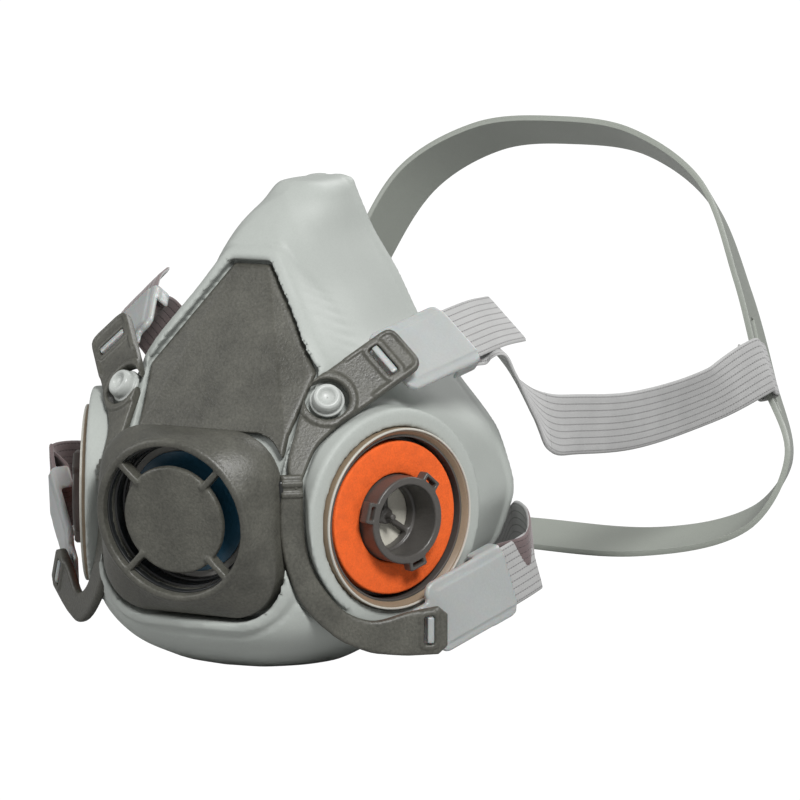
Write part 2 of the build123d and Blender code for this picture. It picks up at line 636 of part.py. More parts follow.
def centred(nodes):
    """Move every node so that the origin lies under the middle of the whole respirator."""
    boxes = [shape.bounding_box() for shape in nodes.values()]
    middle_x = (min(box.min.X for box in boxes) + max(box.max.X for box in boxes)) / 2
    middle_y = (min(box.min.Y for box in boxes) + max(box.max.Y for box in boxes)) / 2
    lowest = min(box.min.Z for box in boxes)
    shift = Vector(-middle_x, -middle_y, -lowest)
    return {name: Pos(*shift) * shape for name, shape in nodes.items()}, shift


os.makedirs("parts", exist_ok=True)
solids, origin_shift = centred(build())
for node, shape in solids.items():
    export_step(shape, f"parts/{node}.step")
print("origin moved by", origin_shift)
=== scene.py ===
from math import cos, sin, tan, radians, pi

import bmesh
import bpy
import numpy as np
from mathutils import Matrix, Quaternion, Vector


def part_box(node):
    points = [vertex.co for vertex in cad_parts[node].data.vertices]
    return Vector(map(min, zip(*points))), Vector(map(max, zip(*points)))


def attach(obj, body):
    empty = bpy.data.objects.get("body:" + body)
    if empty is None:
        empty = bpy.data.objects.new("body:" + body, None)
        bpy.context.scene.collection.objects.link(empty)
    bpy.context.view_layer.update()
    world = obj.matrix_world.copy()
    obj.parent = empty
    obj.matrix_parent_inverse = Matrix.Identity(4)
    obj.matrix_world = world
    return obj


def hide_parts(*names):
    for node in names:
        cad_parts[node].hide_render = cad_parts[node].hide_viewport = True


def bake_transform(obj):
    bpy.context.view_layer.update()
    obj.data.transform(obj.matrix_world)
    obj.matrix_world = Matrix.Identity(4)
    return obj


# The looks of the half-face respirator. Sizes are in millimetres in the mask's own working
# frame (+X wearer's left, +Y behind the mask, +Z up); made() moves them to the row frame.
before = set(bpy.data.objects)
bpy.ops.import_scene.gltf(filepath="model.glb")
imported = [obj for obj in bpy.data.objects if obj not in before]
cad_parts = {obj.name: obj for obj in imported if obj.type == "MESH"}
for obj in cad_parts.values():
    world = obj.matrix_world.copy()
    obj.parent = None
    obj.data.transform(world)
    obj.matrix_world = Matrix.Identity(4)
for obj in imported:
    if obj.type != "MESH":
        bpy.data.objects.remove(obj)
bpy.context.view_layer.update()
scene = bpy.context.scene
UP = Vector((0, 0, 1))

# ---- sizes, in millimetres and degrees, mostly those of the CAD
SIDE_WALL, FRONT_WALL, WALL_FADE = 3.2, 8.0, 9.0
CAVITY_FLOOR, CAVITY_ROOF, BACKING_WALL, RECESS_GAP = 4.5, 119.0, 2.2, 1.3
LIP_HEIGHTS, LIP_REACH, LIP_THICK = (60, 100), (13.0, 3.6), 2.8
BORDER_WIDTH, BORDER_STAND = 4.6, 0.8          # raised edge of the facepiece round the cover
CREASE_AT, CREASE_WIDTH, CREASE_DEPTH = 5.1, 0.55, 0.45
FACE_TOP, LIP_LOW, LIP_TOP = 126.2, 0.8, 125.0
UPPER_ROOM, LOWER_ROOM, PLATE_ROOM = 0.4, 0.5, 0.2
PORT_CENTRE, PORT_YAW = Vector((47.4, -17.2, 42.0)), 64.5
FLANGE_R, RING_R, RING_BORE_R, SEAT_BORE_R = 29.0, 24.0, 21.6, 18.5
RING_STAND, PORT_DEPTH, SEAT_THICK = 1.8, 10.0, 3.0
GASKET_R, GASKET_THICK = 20.3, 4.4
RING_FLOOR, BASE_THICK = 1.6, 1.6
TUBE_R, TUBE_BORE_R, SPIDER_BORE_R, TUBE_STAND, SPIDER_DEPTH = 11.5, 9.4, 8.6, 3.0, 2.6
LUG_R, LUG_ANGLES, SPIDER_TURN = 13.5, (50, 165, 287), 40
INLET_VALVE_R = 11.2
EXHALE_CENTRE, EXHALE_TILT = Vector((0, -55.0, 44.0)), 8.0
RIM_R, BORE_R, GUARD_R, SPOKE_WIDTH = 22.0, 20.0, 14.4, 1.7
SEAT_PLANE, RECESS_PLANE, EXHALE_PORT_R, EXHALE_VALVE_R = -12.0, -14.0, 16.0, 16.3
CENTRE_BORE_R, BEAM_HALF, BEAM_HALF_HEIGHT = EXHALE_PORT_R + 1.5, 26.5, 9
COWL_HALF, COWL_LOW, COWL_HIGH, COWL_CORNER = 25.5, 18.0, 67.0, 13.0
COWL_FRONT_Y, COWL_BACK_Y, COWL_WALL = -46.0, -28.0, 2.4
COWL_INSIDE_Y = -43.6
COVER_THICK, COVER_GAP = 2.5, 1.1
PLATE, PEG_HOLE_R = 2.5, 5.8
PEG_AT, ARM_ALONG, ARM_OUT = (30.4, -26.2, 73.8), (0.548, 0.662, 0.511), (0.398, -0.744, 0.537)
HINGE_AT, BAND_YAW = (28.3, -42.0, 53.9), 39.3
UPPER_SLOT, LOWER_SLOT = (18.6, 3.2, 9.4), (36.4, 2.8, 7.6)   # distance, width, length
SLOT_DROP, LOWER_SLOT_Z = 0.2, 13.5
RIB_HEIGHTS, RIB_TALL = (50.2, 53.0), 1.4
TIP_BEND, TIP_LIFT = (22.0, 12.0), {1: 0.0, -1: 26.0}
CLIP_WIDTH, CLIP_LENGTH, CLIP_CHEEK = 20.0, 32.0, 9.0
STRAP_WIDTH, STRAP_THICK, STRAP_ROOM = 17.0, 1.3, 0.4
WEAVE_PITCH, STITCH_PITCH, RIB_DEPTH = 1.9, 0.9, 0.10
CRADLE_LEAN, CRADLE_AT = 14.0, Vector((0.0, 176.0, 63.0))
CRADLE_BAND, CRADLE_THICK, CRADLE_SLOT, SLOT_RISE = 20.0, 1.8, (3.0, 7.4, 31.0), 2.6
CLASP_Y, CLASP_Z, CLASP_HEIGHT, CLASP_BAR_R = 72.0, 10.4, 20.6, 1.6
RIM_STEPS, STRAP_STEPS = 16, 12                # curve points between two given ones
FACE_STEP, COVER_STEP, UPPER_ARM_STEP, LOWER_ARM_STEP = 0.8, 0.42, 0.36, 0.4
CENTRE_STEP, CONNECTOR_STEP, CLIP_STEP, TAB_STEP, CLASP_STEP = 0.5, 0.34, 0.34, 0.3, 0.4

UPPER_OUTLINE = [
    (-23, -16.2), (-10.4, -8.4), (-2.4, -7.4), (26.4, -7.4), (26.4, 6.6), (-1.3, 6.6), (-20.5, -8.6),
]
LOWER_TIP = [(26, 7.3), (31, 6.8), (39, 6.8), (41.5, 9), (41.5, 17.5), (39, 19.6), (31, 18.4)]
FACE_LEVELS = [
    (0.0, 6, [(0, -24), (10, -22), (18, -16), (22, -8), (18, 6)]),
    (6.0, 16, [(0, -41), (17, -38), (29, -24), (36, -8), (30, 16)]),
    (14.0, 26, [(0, -47), (22, -44), (37, -27), (46, -4), (39, 26)]),
    (28.0, 35, [(0, -47), (26, -45), (42, -26), (54, 2), (52, 35)]),
    (42.0, 42, [(0, -45), (27, -43), (43, -24), (56, 8), (54, 42)]),
    (58.0, 45, [(0, -39), (24, -37.5), (41, -20), (51, 8), (47, 45)]),
    (72.0, 46, [(0, -31), (20, -29.5), (33, -18), (40, 4), (34, 46)]),
    (86.0, 46, [(0, -22), (19.5, -21), (25.5, -16), (27, 6), (23, 46)]),
    (100.0, 44, [(0, -14), (10.5, -13.6), (14.8, -11), (18, 8), (17, 44)]),
    (112.0, 41, [(0, -8.4), (7.6, -7.6), (11.2, -1), (12.5, 14), (10.5, 41)]),
    (119.0, 39, [(0, -0.5), (6.2, 0.4), (9.3, 7), (10.5, 19), (8.5, 39)]),
    (124.5, 38, [(0, 13), (4.5, 13.6), (7.2, 18), (8, 27), (6, 38)]),
]
COVER_LEVELS = [
    (106.1, (4.8, -10.3), (5.4, -10.1)),
    (79.5, (15.4, -24.8), (24.5, -22.0)),
    (64.3, (21.5, -33.7), (22.2, -33.4)),
    (40.0, (21.5, -46.0), (22.2, -45.7)),
]
RIM_HALF = [(0, 132), (27, 129), (52, 114), (67, 85), (77.5, 58), (89, 34), (78, 11), (44, 0.6), (0, 0)]
RIM_INSET = [4.0, 4.0, 4.5, 3.0, 2.5, 6.0, 9.0, 9.0, 9.0]
SLOT_INDEX = 4
CLIP_ENDS = {
    "upper_right": (50.4, 15.8, 90.1),
    "upper_left": (-53.7, 14.2, 91.4),
    "lower_right": (69.6, 8.6, 23.0),
    "lower_left": (-74.5, 0.8, 37.6),
}
CLIP_ROLL = {"lower_right": 6.0, "lower_left": -12.0}
TAILS = {                  # two points of each strap's free end, clip frame: along, outwards
    "upper_right": [(54.0, -8.0), (44.0, -5.2)],
    "upper_left": [(54.0, -7.0), (44.0, -4.8)],
    "lower_right": [(43.0, -5.2), (38.0, -4.6)],
    "lower_left": [(43.0, -5.2), (38.0, -4.6)],
}
ROUTES = {
    "upper_right": [
        ((51.5, 28, 84), (-0.74, 0.05, 0.67)),
        ((56, 33, 76), (-0.62, 0.72, 0.25)),
        ((59, 39, 66.5), (-0.55, 0.7, 0.45)),
        ((60, 50, 59), (-0.25, 0.35, 0.9)),
        ((60, 70, 55.5), (0, 0, 1)),
        ((63, 110, 51.5), (0, 0, 1)),
        ((71, 148, 54), (0, 0, 1)),
    ],
    "upper_left": [
        ((-50, 26, 84), (0.7, 0.1, 0.7)),
        ((-49, 36, 76), (0.55, -0.1, 0.83)),
        ((-53, 62, 63), (0.2, 0, 1)),
        ((-59, 100, 53), (0, 0, 1)),
        ((-70, 148, 54), (0, 0, 1)),
    ],
    "lower_right": [
        ((68, 19, 26), (0, -0.33, 0.94)),
        ((64, 29, 30), (0, -0.2, 0.97)),
        ((54, 42, 29), (0, 0, 1)),
        ((42, 60, 17), (0, 0, 1)),
    ],
    "lower_left": [
        ((-73, 14, 41), (-0.3, -0.3, 0.9)),
        ((-66, 29, 38), (0, -0.2, 1)),
        ((-55, 48, 27), (0, 0, 1)),
        ((-42, 61, 15), (0, 0, 1)),
    ],
}


# ---- planes and places
def plane(origin, x, z):
    """Matrix of a local frame from its origin, x direction and normal."""
    x_dir, z_dir = Vector(x).normalized(), Vector(z).normalized()
    made_plane = Matrix((x_dir, z_dir.cross(x_dir), z_dir)).transposed().to_4x4()
    made_plane.translation = Vector(origin)
    return made_plane


def port_plane(side):
    yaw = radians(PORT_YAW)
    axis = Vector((side * sin(yaw), -cos(yaw), 0))
    return plane((side * PORT_CENTRE.x, PORT_CENTRE.y, PORT_CENTRE.z), UP.cross(axis), axis)


def exhale_plane():
    tilt = radians(EXHALE_TILT)
    return plane(EXHALE_CENTRE, (1, 0, 0), (0, -cos(tilt), -sin(tilt)))


def upper_arm_plane():
    return plane(PEG_AT, ARM_ALONG, ARM_OUT)


def lower_arm_plane():
    yaw = radians(BAND_YAW)
    along = Vector((cos(yaw), sin(yaw), 0))
    return plane((HINGE_AT[0], HINGE_AT[1], 0), along, along.cross(UP))


def row_shift():
    """Working frame to row frame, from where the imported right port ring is."""
    low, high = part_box("port_ring_right")
    axis = port_plane(1).col[2].to_3d()
    return (low + high) * 500 - (PORT_CENTRE - axis * (PORT_DEPTH / 2))


SHIFT = row_shift()


def row(point):
    """A working point in millimetres as a row point in metres."""
    return (Vector(point) + SHIFT) / 1000


# ---- distance fields
def local(place, x, y, z):
    """Coordinates of sampled points in a plane's frame."""
    dx, dy, dz = (value - place[i][3] for i, value in enumerate((x, y, z)))
    return [dx * place[0][k] + dy * place[1][k] + dz * place[2][k] for k in range(3)]


def join(a, b, soft):
    """Union of two fields with a fillet of about soft millimetres."""
    share = np.clip(0.5 + 0.5 * (b - a) / soft, 0, 1)
    return b + (a - b) * share - soft * share * (1 - share)


def meet(a, b, soft):
    """Intersection of two fields with a rounded edge."""
    return -join(-a, -b, soft)


def cut(a, tool, soft=0.3):
    return meet(a, -tool, soft)


def slab(value, low, high):
    return np.maximum(low - value, value - high)


def bar(x, y, z, x_span, y_span, z_span, soft=0.5):
    """Rounded box between three spans."""
    return meet(meet(slab(x, *x_span), slab(y, *y_span), soft), slab(z, *z_span), soft)


def polygon(u, v, points):
    """Signed distance to a closed outline, negative inside."""
    shape = np.broadcast(u, v).shape
    nearest = np.full(shape, 1e9, np.float32)
    inside = np.zeros(shape, bool)
    for (u0, v0), (u1, v1) in zip(points, points[1:] + points[:1]):
        run_u, run_v = u1 - u0, v1 - v0
        along = np.clip(((u - u0) * run_u + (v - v0) * run_v) / (run_u ** 2 + run_v ** 2 + 1e-9), 0, 1)
        nearest = np.minimum(nearest, (u - u0 - along * run_u) ** 2 + (v - v0 - along * run_v) ** 2)
        if v0 != v1:
            inside ^= ((v0 > v) != (v1 > v)) & (u < run_u * (v - v0) / run_v + u0)
    return np.where(inside, -1, 1) * np.sqrt(nearest)


def rounded_square(u, v, half_u, half_v, corner):
    over_u, over_v = np.abs(u) - (half_u - corner), np.abs(v) - (half_v - corner)
    outside = np.hypot(np.maximum(over_u, 0), np.maximum(over_v, 0))
    return outside + np.minimum(np.maximum(over_u, over_v), 0) - corner


def surface_net(values, low, step):
    """Points and quads of the zero surface of a sampled field, one point in each cell it crosses."""
    inside = values < 0
    corners = [tuple((c >> k) & 1 for k in range(3)) for c in range(8)]
    shape = tuple(n - 1 for n in values.shape)
    held = np.zeros(shape, np.int8)
    for corner in corners:
        held += inside[tuple(slice(o, o + n) for o, n in zip(corner, shape))]
    cells = np.argwhere((held > 0) & (held < 8))
    number = np.full(shape, -1, np.int64)
    number[tuple(cells.T)] = np.arange(len(cells))
    total, hits = np.zeros((len(cells), 3)), np.zeros(len(cells))
    for a in range(8):
        for axis in range(3):
            if corners[a][axis]:
                continue
            first, second = cells + corners[a], cells + corners[a | 1 << axis]
            start, end = values[tuple(first.T)], values[tuple(second.T)]
            crossed = (start < 0) != (end < 0)
            share = start / np.where(crossed, start - end, 1)
            total += np.where(crossed[:, None], first + (second - first) * share[:, None], 0)
            hits += crossed
    quads = []
    for axis in range(3):
        u, v = (axis + 1) % 3, (axis + 2) % 3
        step_over = np.diff(inside.astype(np.int8), axis=axis)
        edges = np.argwhere(step_over)
        at_u, at_v = edges[:, u], edges[:, v]
        edges = edges[(at_u > 0) & (at_v > 0) & (at_u < shape[u]) & (at_v < shape[v])]
        ring = []
        for du, dv in ((-1, -1), (0, -1), (0, 0), (-1, 0)):
            cell = edges.copy()
            cell[:, u] += du
            cell[:, v] += dv
            ring.append(number[tuple(cell.T)])
        quad = np.stack(ring, 1)
        leaving = step_over[tuple(edges.T)] < 0
        quads.append(np.where(leaving[:, None], quad, quad[:, ::-1]))
    return np.array(low) + step * total / hits[:, None], np.concatenate(quads)


def sampled(field, low, high, step, even=False):
    """Mesh of a field between two corners; an even field is sampled for x >= 0 and mirrored."""
    first = 0.0 if even else low[0]
    axes = [np.arange(a, b + step, step, dtype=np.float32) for a, b in zip((first, *low[1:]), high)]
    x, y, z = np.meshgrid(*axes, indexing="ij", sparse=True)
    values = np.array(field(x, y, z), np.float32)
    if even:
        values = np.concatenate([values[:0:-1], values])
        first = -axes[0][-1]
    return surface_net(values, (first, low[1], low[2]), step)


# ---- outlines
def curve(points, per=8, closed=False, tension=1.0):
    """Points of a smooth curve through a list of points of any dimension."""
    knots = [np.array(p, float) for p in points]
    n = len(knots)
    slopes = []
    for i in range(n):
        before = knots[i - 1 if closed else max(i - 1, 0)]
        after = knots[(i + 1) % n if closed else min(i + 1, n - 1)]
        back = np.linalg.norm(knots[i] - before)
        ahead = np.linalg.norm(after - knots[i])
        slopes.append((after - before) / max(back + ahead, 1e-9) * tension)
    made_points = []
    for i in range(n if closed else n - 1):
        a, b = knots[i], knots[(i + 1) % n]
        reach = np.linalg.norm(b - a)
        for k in range(per):
            t = k / per
            h00, h10 = 2 * t ** 3 - 3 * t ** 2 + 1, t ** 3 - 2 * t ** 2 + t
            h01, h11 = 3 * t ** 2 - 2 * t ** 3, t ** 3 - t ** 2
            bend = h10 * reach * slopes[i], h11 * reach * slopes[(i + 1) % n]
            made_points.append(h00 * a + bend[0] + h01 * b + bend[1])
    if not closed:
        made_points.append(knots[-1])
    return made_points


def rounded(points, radius, steps=4):
    """A closed outline with its corners turned into short curves."""
    corners = [Vector(p) for p in points]
    made_points = []
    for i, here in enumerate(corners):
        back, ahead = corners[i - 1] - here, corners[(i + 1) % len(corners)] - here
        first = here + back.normalized() * min(radius, 0.45 * back.length)
        last = here + ahead.normalized() * min(radius, 0.45 * ahead.length)
        for k in range(steps + 1):
            t = k / steps
            made_points.append(tuple(first * (1 - t) ** 2 + here * (2 * t * (1 - t)) + last * t ** 2))
    return made_points


# ---- meshes
def made(name, points, faces, place=None, turn=False):
    """Object from working-frame points, or from a plane's local points; turn flips the faces."""
    co = np.array(points, float)
    if place is not None:
        matrix = np.array(place)
        co = co @ matrix[:3, :3].T + matrix[:3, 3]
    co = (co + np.array(SHIFT)) / 1000
    mesh = bpy.data.meshes.new(name)
    quads = np.array(faces)[:, ::-1] if turn else np.array(faces)
    mesh.from_pydata(co.tolist(), [], quads.tolist())
    mesh.shade_smooth()
    piece = bpy.data.objects.new(name, mesh)
    scene.collection.objects.link(piece)
    return piece


def flipped(points):
    """The same points on the other side of the mask."""
    return np.array(points) * (-1, 1, 1)


def dressed(piece, body, material, stands_for=None):
    """Give a piece its material and its body, and hide the CAD node that it stands for."""
    piece.data.materials.append(material)
    if body:
        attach(piece, body)
    if stands_for:
        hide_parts(stands_for)


def lathe(name, place, profile, turns=96):
    """Solid of revolution about a plane's normal from a closed (radius, height) outline."""
    ring = np.array(profile, float)
    count = len(ring)
    angles = [2 * pi * k / turns for k in range(turns)]
    points = [(r * cos(a), r * sin(a), h) for a in angles for r, h in ring]
    faces = []
    for k in range(turns):
        for i in range(count):
            j, m = (i + 1) % count, (k + 1) % turns
            faces.append((k * count + i, m * count + i, m * count + j, k * count + j))
    piece = made(name, points, faces, place)
    work = bmesh.new()
    work.from_mesh(piece.data)
    bmesh.ops.remove_doubles(work, verts=work.verts, dist=1e-6)
    bmesh.ops.dissolve_degenerate(work, edges=work.edges, dist=1e-7)
    bmesh.ops.recalc_face_normals(work, faces=work.faces)
    work.to_mesh(piece.data)
    work.free()
    piece.data.set_sharp_from_angle(angle=radians(50))
    return piece


# ---- materials
def feed(tree, socket, value):
    """Link an input to another node's output, or set it to a plain value."""
    if isinstance(value, bpy.types.NodeSocket):
        tree.links.new(value, socket)
    else:
        socket.default_value = value


def node(tree, kind, **inputs):
    made_node = tree.nodes.new(kind)
    for name, value in inputs.items():
        feed(tree, made_node.inputs[name.replace("_", " ")], value)
    return made_node


def noise(tree, place, scale, detail, rough):
    made_node = node(tree, "ShaderNodeTexNoise", Vector=place, Scale=scale, Detail=detail, Roughness=rough)
    return made_node.outputs["Fac"]


def remap(tree, value, low, high, to_low, to_high):
    spans = {"From_Min": low, "From_Max": high, "To_Min": to_low, "To_Max": to_high}
    return node(tree, "ShaderNodeMapRange", Value=value, **spans).outputs["Result"]


def maths(tree, operation, *values):
    made_node = tree.nodes.new("ShaderNodeMath")
    made_node.operation = operation
    for socket, value in zip(made_node.inputs, values):
        feed(tree, socket, value)
    return made_node.outputs[0]


def mixed_colour(tree, blend, factor, first, second):
    mix = tree.nodes.new("ShaderNodeMix")
    mix.data_type = "RGBA"
    mix.blend_type = blend
    for name, value in (("Factor", factor), ("A", first), ("B", second)):
        feed(tree, mix.inputs[name], value)
    return mix.outputs["Result"]


def shade(colour, factor):
    return (*[channel * factor for channel in colour], 1.0)


def surface(name, colour, rough, grain, depth, mottle=0.07, patch=60.0, spread=0.08, **sockets):
    """Moulded surface: mottled colour, fine grain in the bump and uneven gloss.
    grain is the grain's size and depth its height, both in millimetres."""
    material = bpy.data.materials.new(name)
    material.use_nodes = True
    tree = material.node_tree
    shader = tree.nodes["Principled BSDF"]
    for socket, value in sockets.items():
        shader.inputs[socket.replace("_", " ")].default_value = value
    place = tree.nodes.new("ShaderNodeTexCoord").outputs["Object"]
    patches = noise(tree, place, patch, 5.0, 0.62)
    fine = noise(tree, place, 1000.0 / grain, 3.0, 0.6)
    ramp = node(tree, "ShaderNodeValToRGB", Fac=patches)
    for stop, position, factor in zip(ramp.color_ramp.elements, (0.32, 0.68), (1 - mottle, 1 + mottle)):
        stop.position = position
        stop.color = shade(colour, factor)
    speck = remap(tree, fine, 0.3, 0.7, 1 - mottle, 1 + mottle)
    feed(tree, shader.inputs["Base Color"], mixed_colour(tree, "MULTIPLY", 1.0, ramp.outputs["Color"], speck))
    feed(tree, shader.inputs["Roughness"], remap(tree, patches, 0.3, 0.7, rough - spread, rough + spread))
    bump = node(tree, "ShaderNodeBump", Strength=1.0, Distance=depth / 1000, Height=fine)
    feed(tree, shader.inputs["Normal"], bump.outputs["Normal"])
    return material


def webbing(name, colour, thread):
    """Ribbed elastic: cross threads over the ribs, from the weave attribute in millimetres."""
    material = surface(name, colour, 0.82, 0.25, 0.05, mottle=0.09, Sheen_Weight=0.25)
    tree = material.node_tree
    shader = tree.nodes["Principled BSDF"]
    weave = tree.nodes.new("ShaderNodeAttribute")
    weave.attribute_name = "weave"
    parts = node(tree, "ShaderNodeSeparateXYZ", Vector=weave.outputs["Vector"])
    groove = maths(tree, "COSINE", maths(tree, "MULTIPLY", parts.outputs["Y"], 2 * pi / WEAVE_PITCH))
    stitch = maths(tree, "SINE", maths(tree, "MULTIPLY", parts.outputs["X"], 2 * pi / STITCH_PITCH))
    dash = remap(tree, stitch, -1.0, 1.0, 0.35, 1.0)
    line = remap(tree, groove, 0.72, 1.0, 0.0, 1.0)
    mark = maths(tree, "MULTIPLY", dash, line)
    base = shader.inputs["Base Color"].links[0].from_socket
    feed(tree, shader.inputs["Base Color"], mixed_colour(tree, "MIX", mark, base, (*thread, 1.0)))
    fine = shader.inputs["Normal"].links[0].from_socket
    ribs = node(tree, "ShaderNodeBump", Strength=0.6, Distance=0.00025, Height=mark, Normal=fine)
    ribs.invert = True
    feed(tree, shader.inputs["Normal"], ribs.outputs["Normal"])
    return material


ELASTOMER = surface(
    "elastomer", (0.40, 0.425, 0.40), 0.50, 0.5, 0.02, 0.035, 25.0, 0.06,
    Specular_IOR_Level=0.35,
)
DARK = surface("dark_plastic", (0.078, 0.077, 0.064), 0.42, 0.7, 0.13, 0.24, 90.0, 0.07)
# Near-black painted shade: the bore liner, the valve seat and the yoke's centre ring behind the exhalation
# cover get the colour of the shade that falls there.
SHADOW = surface("painted_shade_inner", (0.016, 0.017, 0.017), 0.40, 0.5, 0.03, 0.15)
RING = surface("ring_plastic", (0.24, 0.18, 0.12), 0.42, 0.4, 0.02, 0.08)
RIM = surface("ring_rim", (0.50, 0.49, 0.44), 0.36, 0.4, 0.02, 0.05)
CONNECTOR = surface("connector_plastic", (0.075, 0.070, 0.064), 0.36, 0.4, 0.03, 0.10)
FOAM = surface("gasket_foam", (0.80, 0.120, 0.014), 0.78, 0.45, 0.20, 0.09, 400.0, 0.05)
BLUE = surface("valve_blue", (0.022, 0.095, 0.16), 0.34, 0.4, 0.02, 0.08)
PALE = surface("valve_pale", (0.62, 0.60, 0.52), 0.45, 0.5, 0.02, 0.05)
PEG = surface("peg_plastic", (0.45, 0.47, 0.45), 0.33, 0.5, 0.015, 0.03)
CLIP = surface(
    "clip_plastic", (0.55, 0.575, 0.565), 0.34, 0.6, 0.03, 0.04, 45.0, 0.06,
    Transmission_Weight=0.35, Subsurface_Weight=0.2, Subsurface_Scale=0.004,
)
CRADLE = surface("cradle_plastic", (0.30, 0.32, 0.285), 0.40, 0.5, 0.03, 0.04, 30.0, 0.08)
CLASP = surface("clasp_plastic", (0.30, 0.31, 0.29), 0.42, 0.5, 0.03, 0.06)
WEB_LIGHT = webbing("webbing_outer", (0.40, 0.40, 0.395), (0.17, 0.165, 0.165))
WEB_MAUVE = webbing("webbing_inner", (0.155, 0.115, 0.115), (0.075, 0.055, 0.055))


# ---- facepiece
def face_outline(half):
    """Closed outline of the facepiece at one height, run out behind the rear edge."""
    right = curve(half, 7, tension=0.75)
    right.append(right[-1] + (0, 40))
    return [tuple(p) for p in right] + [(-p[0], p[1]) for p in reversed(right)]


def level_weights(heights, spread=2.6):
    """How much each level's outline counts at each height, softened across the levels."""
    levels = [level[0] for level in FACE_LEVELS]
    weights = np.stack([np.interp(heights, levels, np.eye(len(levels))[k]) for k in range(len(levels))], 1)
    blur = np.exp(-((heights[:, None] - heights[None, :]) / spread) ** 2 / 2)
    return (blur @ weights) / blur.sum(1, keepdims=True)


def cover_silhouette():
    """Front view of the faceted shell, both halves: (x, z)."""
    right = [(side[0], z) for z, _, side in COVER_LEVELS]
    return right + [(-x, z) for x, z in reversed(right)]


def cover_front(x, z):
    """Depth of the faceted shell's front at (x, z)."""
    heights = [level[0] for level in reversed(COVER_LEVELS)]
    rows = list(reversed(COVER_LEVELS))
    front_x = np.interp(z, heights, [front[0] for _, front, _ in rows])
    front_y = np.interp(z, heights, [front[1] for _, front, _ in rows])
    slope = np.interp(z, heights, [(s[1] - f[1]) / (s[0] - f[0]) for _, f, s in rows])
    return front_y + np.maximum(np.abs(x) - front_x, 0) * slope


def cowl_square(x, z):
    middle = (COWL_LOW + COWL_HIGH) / 2
    return rounded_square(x, z - middle, COWL_HALF, (COWL_HIGH - COWL_LOW) / 2, COWL_CORNER)


def face_skin(x, y, z):
    """Distance to the facepiece's outer skin, and the depths of its rear edge and front at each height."""
    step = float(z[0, 0, 1] - z[0, 0, 0])
    flat_x, flat_y = x[:, :, 0], y[:, :, 0]
    stack = np.stack([polygon(flat_x, flat_y, face_outline(half)) for _, _, half in FACE_LEVELS])
    weights = level_weights(z[0, 0].astype(float)).astype(np.float32)
    skin = np.tensordot(stack, weights, axes=([0], [1])).astype(np.float32)
    steep = np.sqrt(sum(g ** 2 for g in np.gradient(skin, step)))
    rear = (weights @ np.array([level[1] for level in FACE_LEVELS], np.float32))[None, None, :]
    front = (weights @ np.array([level[2][0][1] for level in FACE_LEVELS], np.float32))[None, None, :]
    return skin / np.clip(steep, 0.6, 2.0), rear, front


def arm_rooms(x, y, z):
    """Places that the yoke's arms take in the facepiece."""
    u, v, w = local(upper_arm_plane(), x, y, z)
    room = polygon(u, v, rounded(UPPER_OUTLINE, 2.0)) - UPPER_ROOM
    upper = np.maximum(room, slab(w, -PLATE - PLATE_ROOM, 12))
    u, v, w = local(lower_arm_plane(), x, y, z)
    room = np.minimum(polygon(u, v, lower_outline(1)), polygon(u, v, lower_outline(-1))) - LOWER_ROOM
    return upper, np.maximum(room, slab(w, -PLATE - PLATE_ROOM, 12))


def face_field(x, y, z):
    """Facepiece: a soft shell with two inlet flanges, a raised border round the cover and a face seal."""
    skin, rear, front = face_skin(x, y, z)
    silhouette = polygon(x[:, 0], z[:, 0], cover_silhouette())
    edge = np.minimum(silhouette, cowl_square(x[:, 0], z[:, 0]))[:, None, :]
    forward = np.clip((6 - y) / 8, 0, 1)
    band = np.clip((BORDER_WIDTH - edge) / 0.8, 0, 1) * forward
    crease = np.exp(-((edge - CREASE_AT) / CREASE_WIDTH) ** 2) * forward
    outside = skin - BORDER_STAND * band + CREASE_DEPTH * crease
    outside = meet(meet(outside, z - FACE_TOP, 4.0), -z, 3.0)

    port_u, port_v, port_w = local(port_plane(1), x, y, z)
    port_r = np.hypot(port_u, port_v)
    outside = cut(outside, np.maximum(port_r - FLANGE_R - 2.2, slab(port_w, -RING_STAND, 20)), 1.4)
    facets = silhouette[:, None, :] - COVER_GAP
    facets = np.maximum(facets, y - cover_front(x, z) - COVER_THICK)
    vent_u, vent_v, vent_w = local(exhale_plane(), x, y, z)
    recess = np.maximum(cowl_square(x, z) - RECESS_GAP, y - COWL_BACK_Y)
    recess = np.maximum(recess, RECESS_PLANE - vent_w)
    wall = SIDE_WALL + (FRONT_WALL - SIDE_WALL) * np.exp(-((y - front) / WALL_FADE) ** 2)
    hollow = meet(meet(skin + wall, CAVITY_FLOOR - z, 3.0), z - CAVITY_ROOF, 3.0)
    hollow = meet(meet(hollow, BACKING_WALL - facets, 1.0), BACKING_WALL - recess, 1.0)
    body = cut(outside, hollow, 0.8)

    reach = np.interp(z, LIP_HEIGHTS, LIP_REACH)
    lip = meet(meet(skin, -(skin + reach), 1.0), slab(y, rear - LIP_THICK, rear), 1.0)
    body = join(body, meet(lip, slab(z, LIP_LOW, LIP_TOP), 1.0), 3.0)
    flange = meet(port_r - FLANGE_R, slab(port_w, -PORT_DEPTH - SEAT_THICK, -RING_STAND), 1.1)
    body = join(body, flange, 2.0)
    body = cut(body, np.maximum(port_r - RING_R - 0.1, slab(port_w, -PORT_DEPTH, 9)), 0.5)
    body = cut(body, np.maximum(port_r - SEAT_BORE_R, slab(port_w, -PORT_DEPTH - 20, 9)), 0.5)
    body = meet(body, y - rear, 1.6)

    body = cut(cut(body, facets, 0.4), recess, 0.4)
    vent = np.maximum(np.hypot(vent_u, vent_v) - EXHALE_PORT_R, slab(vent_w, RECESS_PLANE - 20, 0))
    body = cut(body, vent)
    for room in arm_rooms(x, y, z):
        body = cut(body, room, 0.4)
    return body


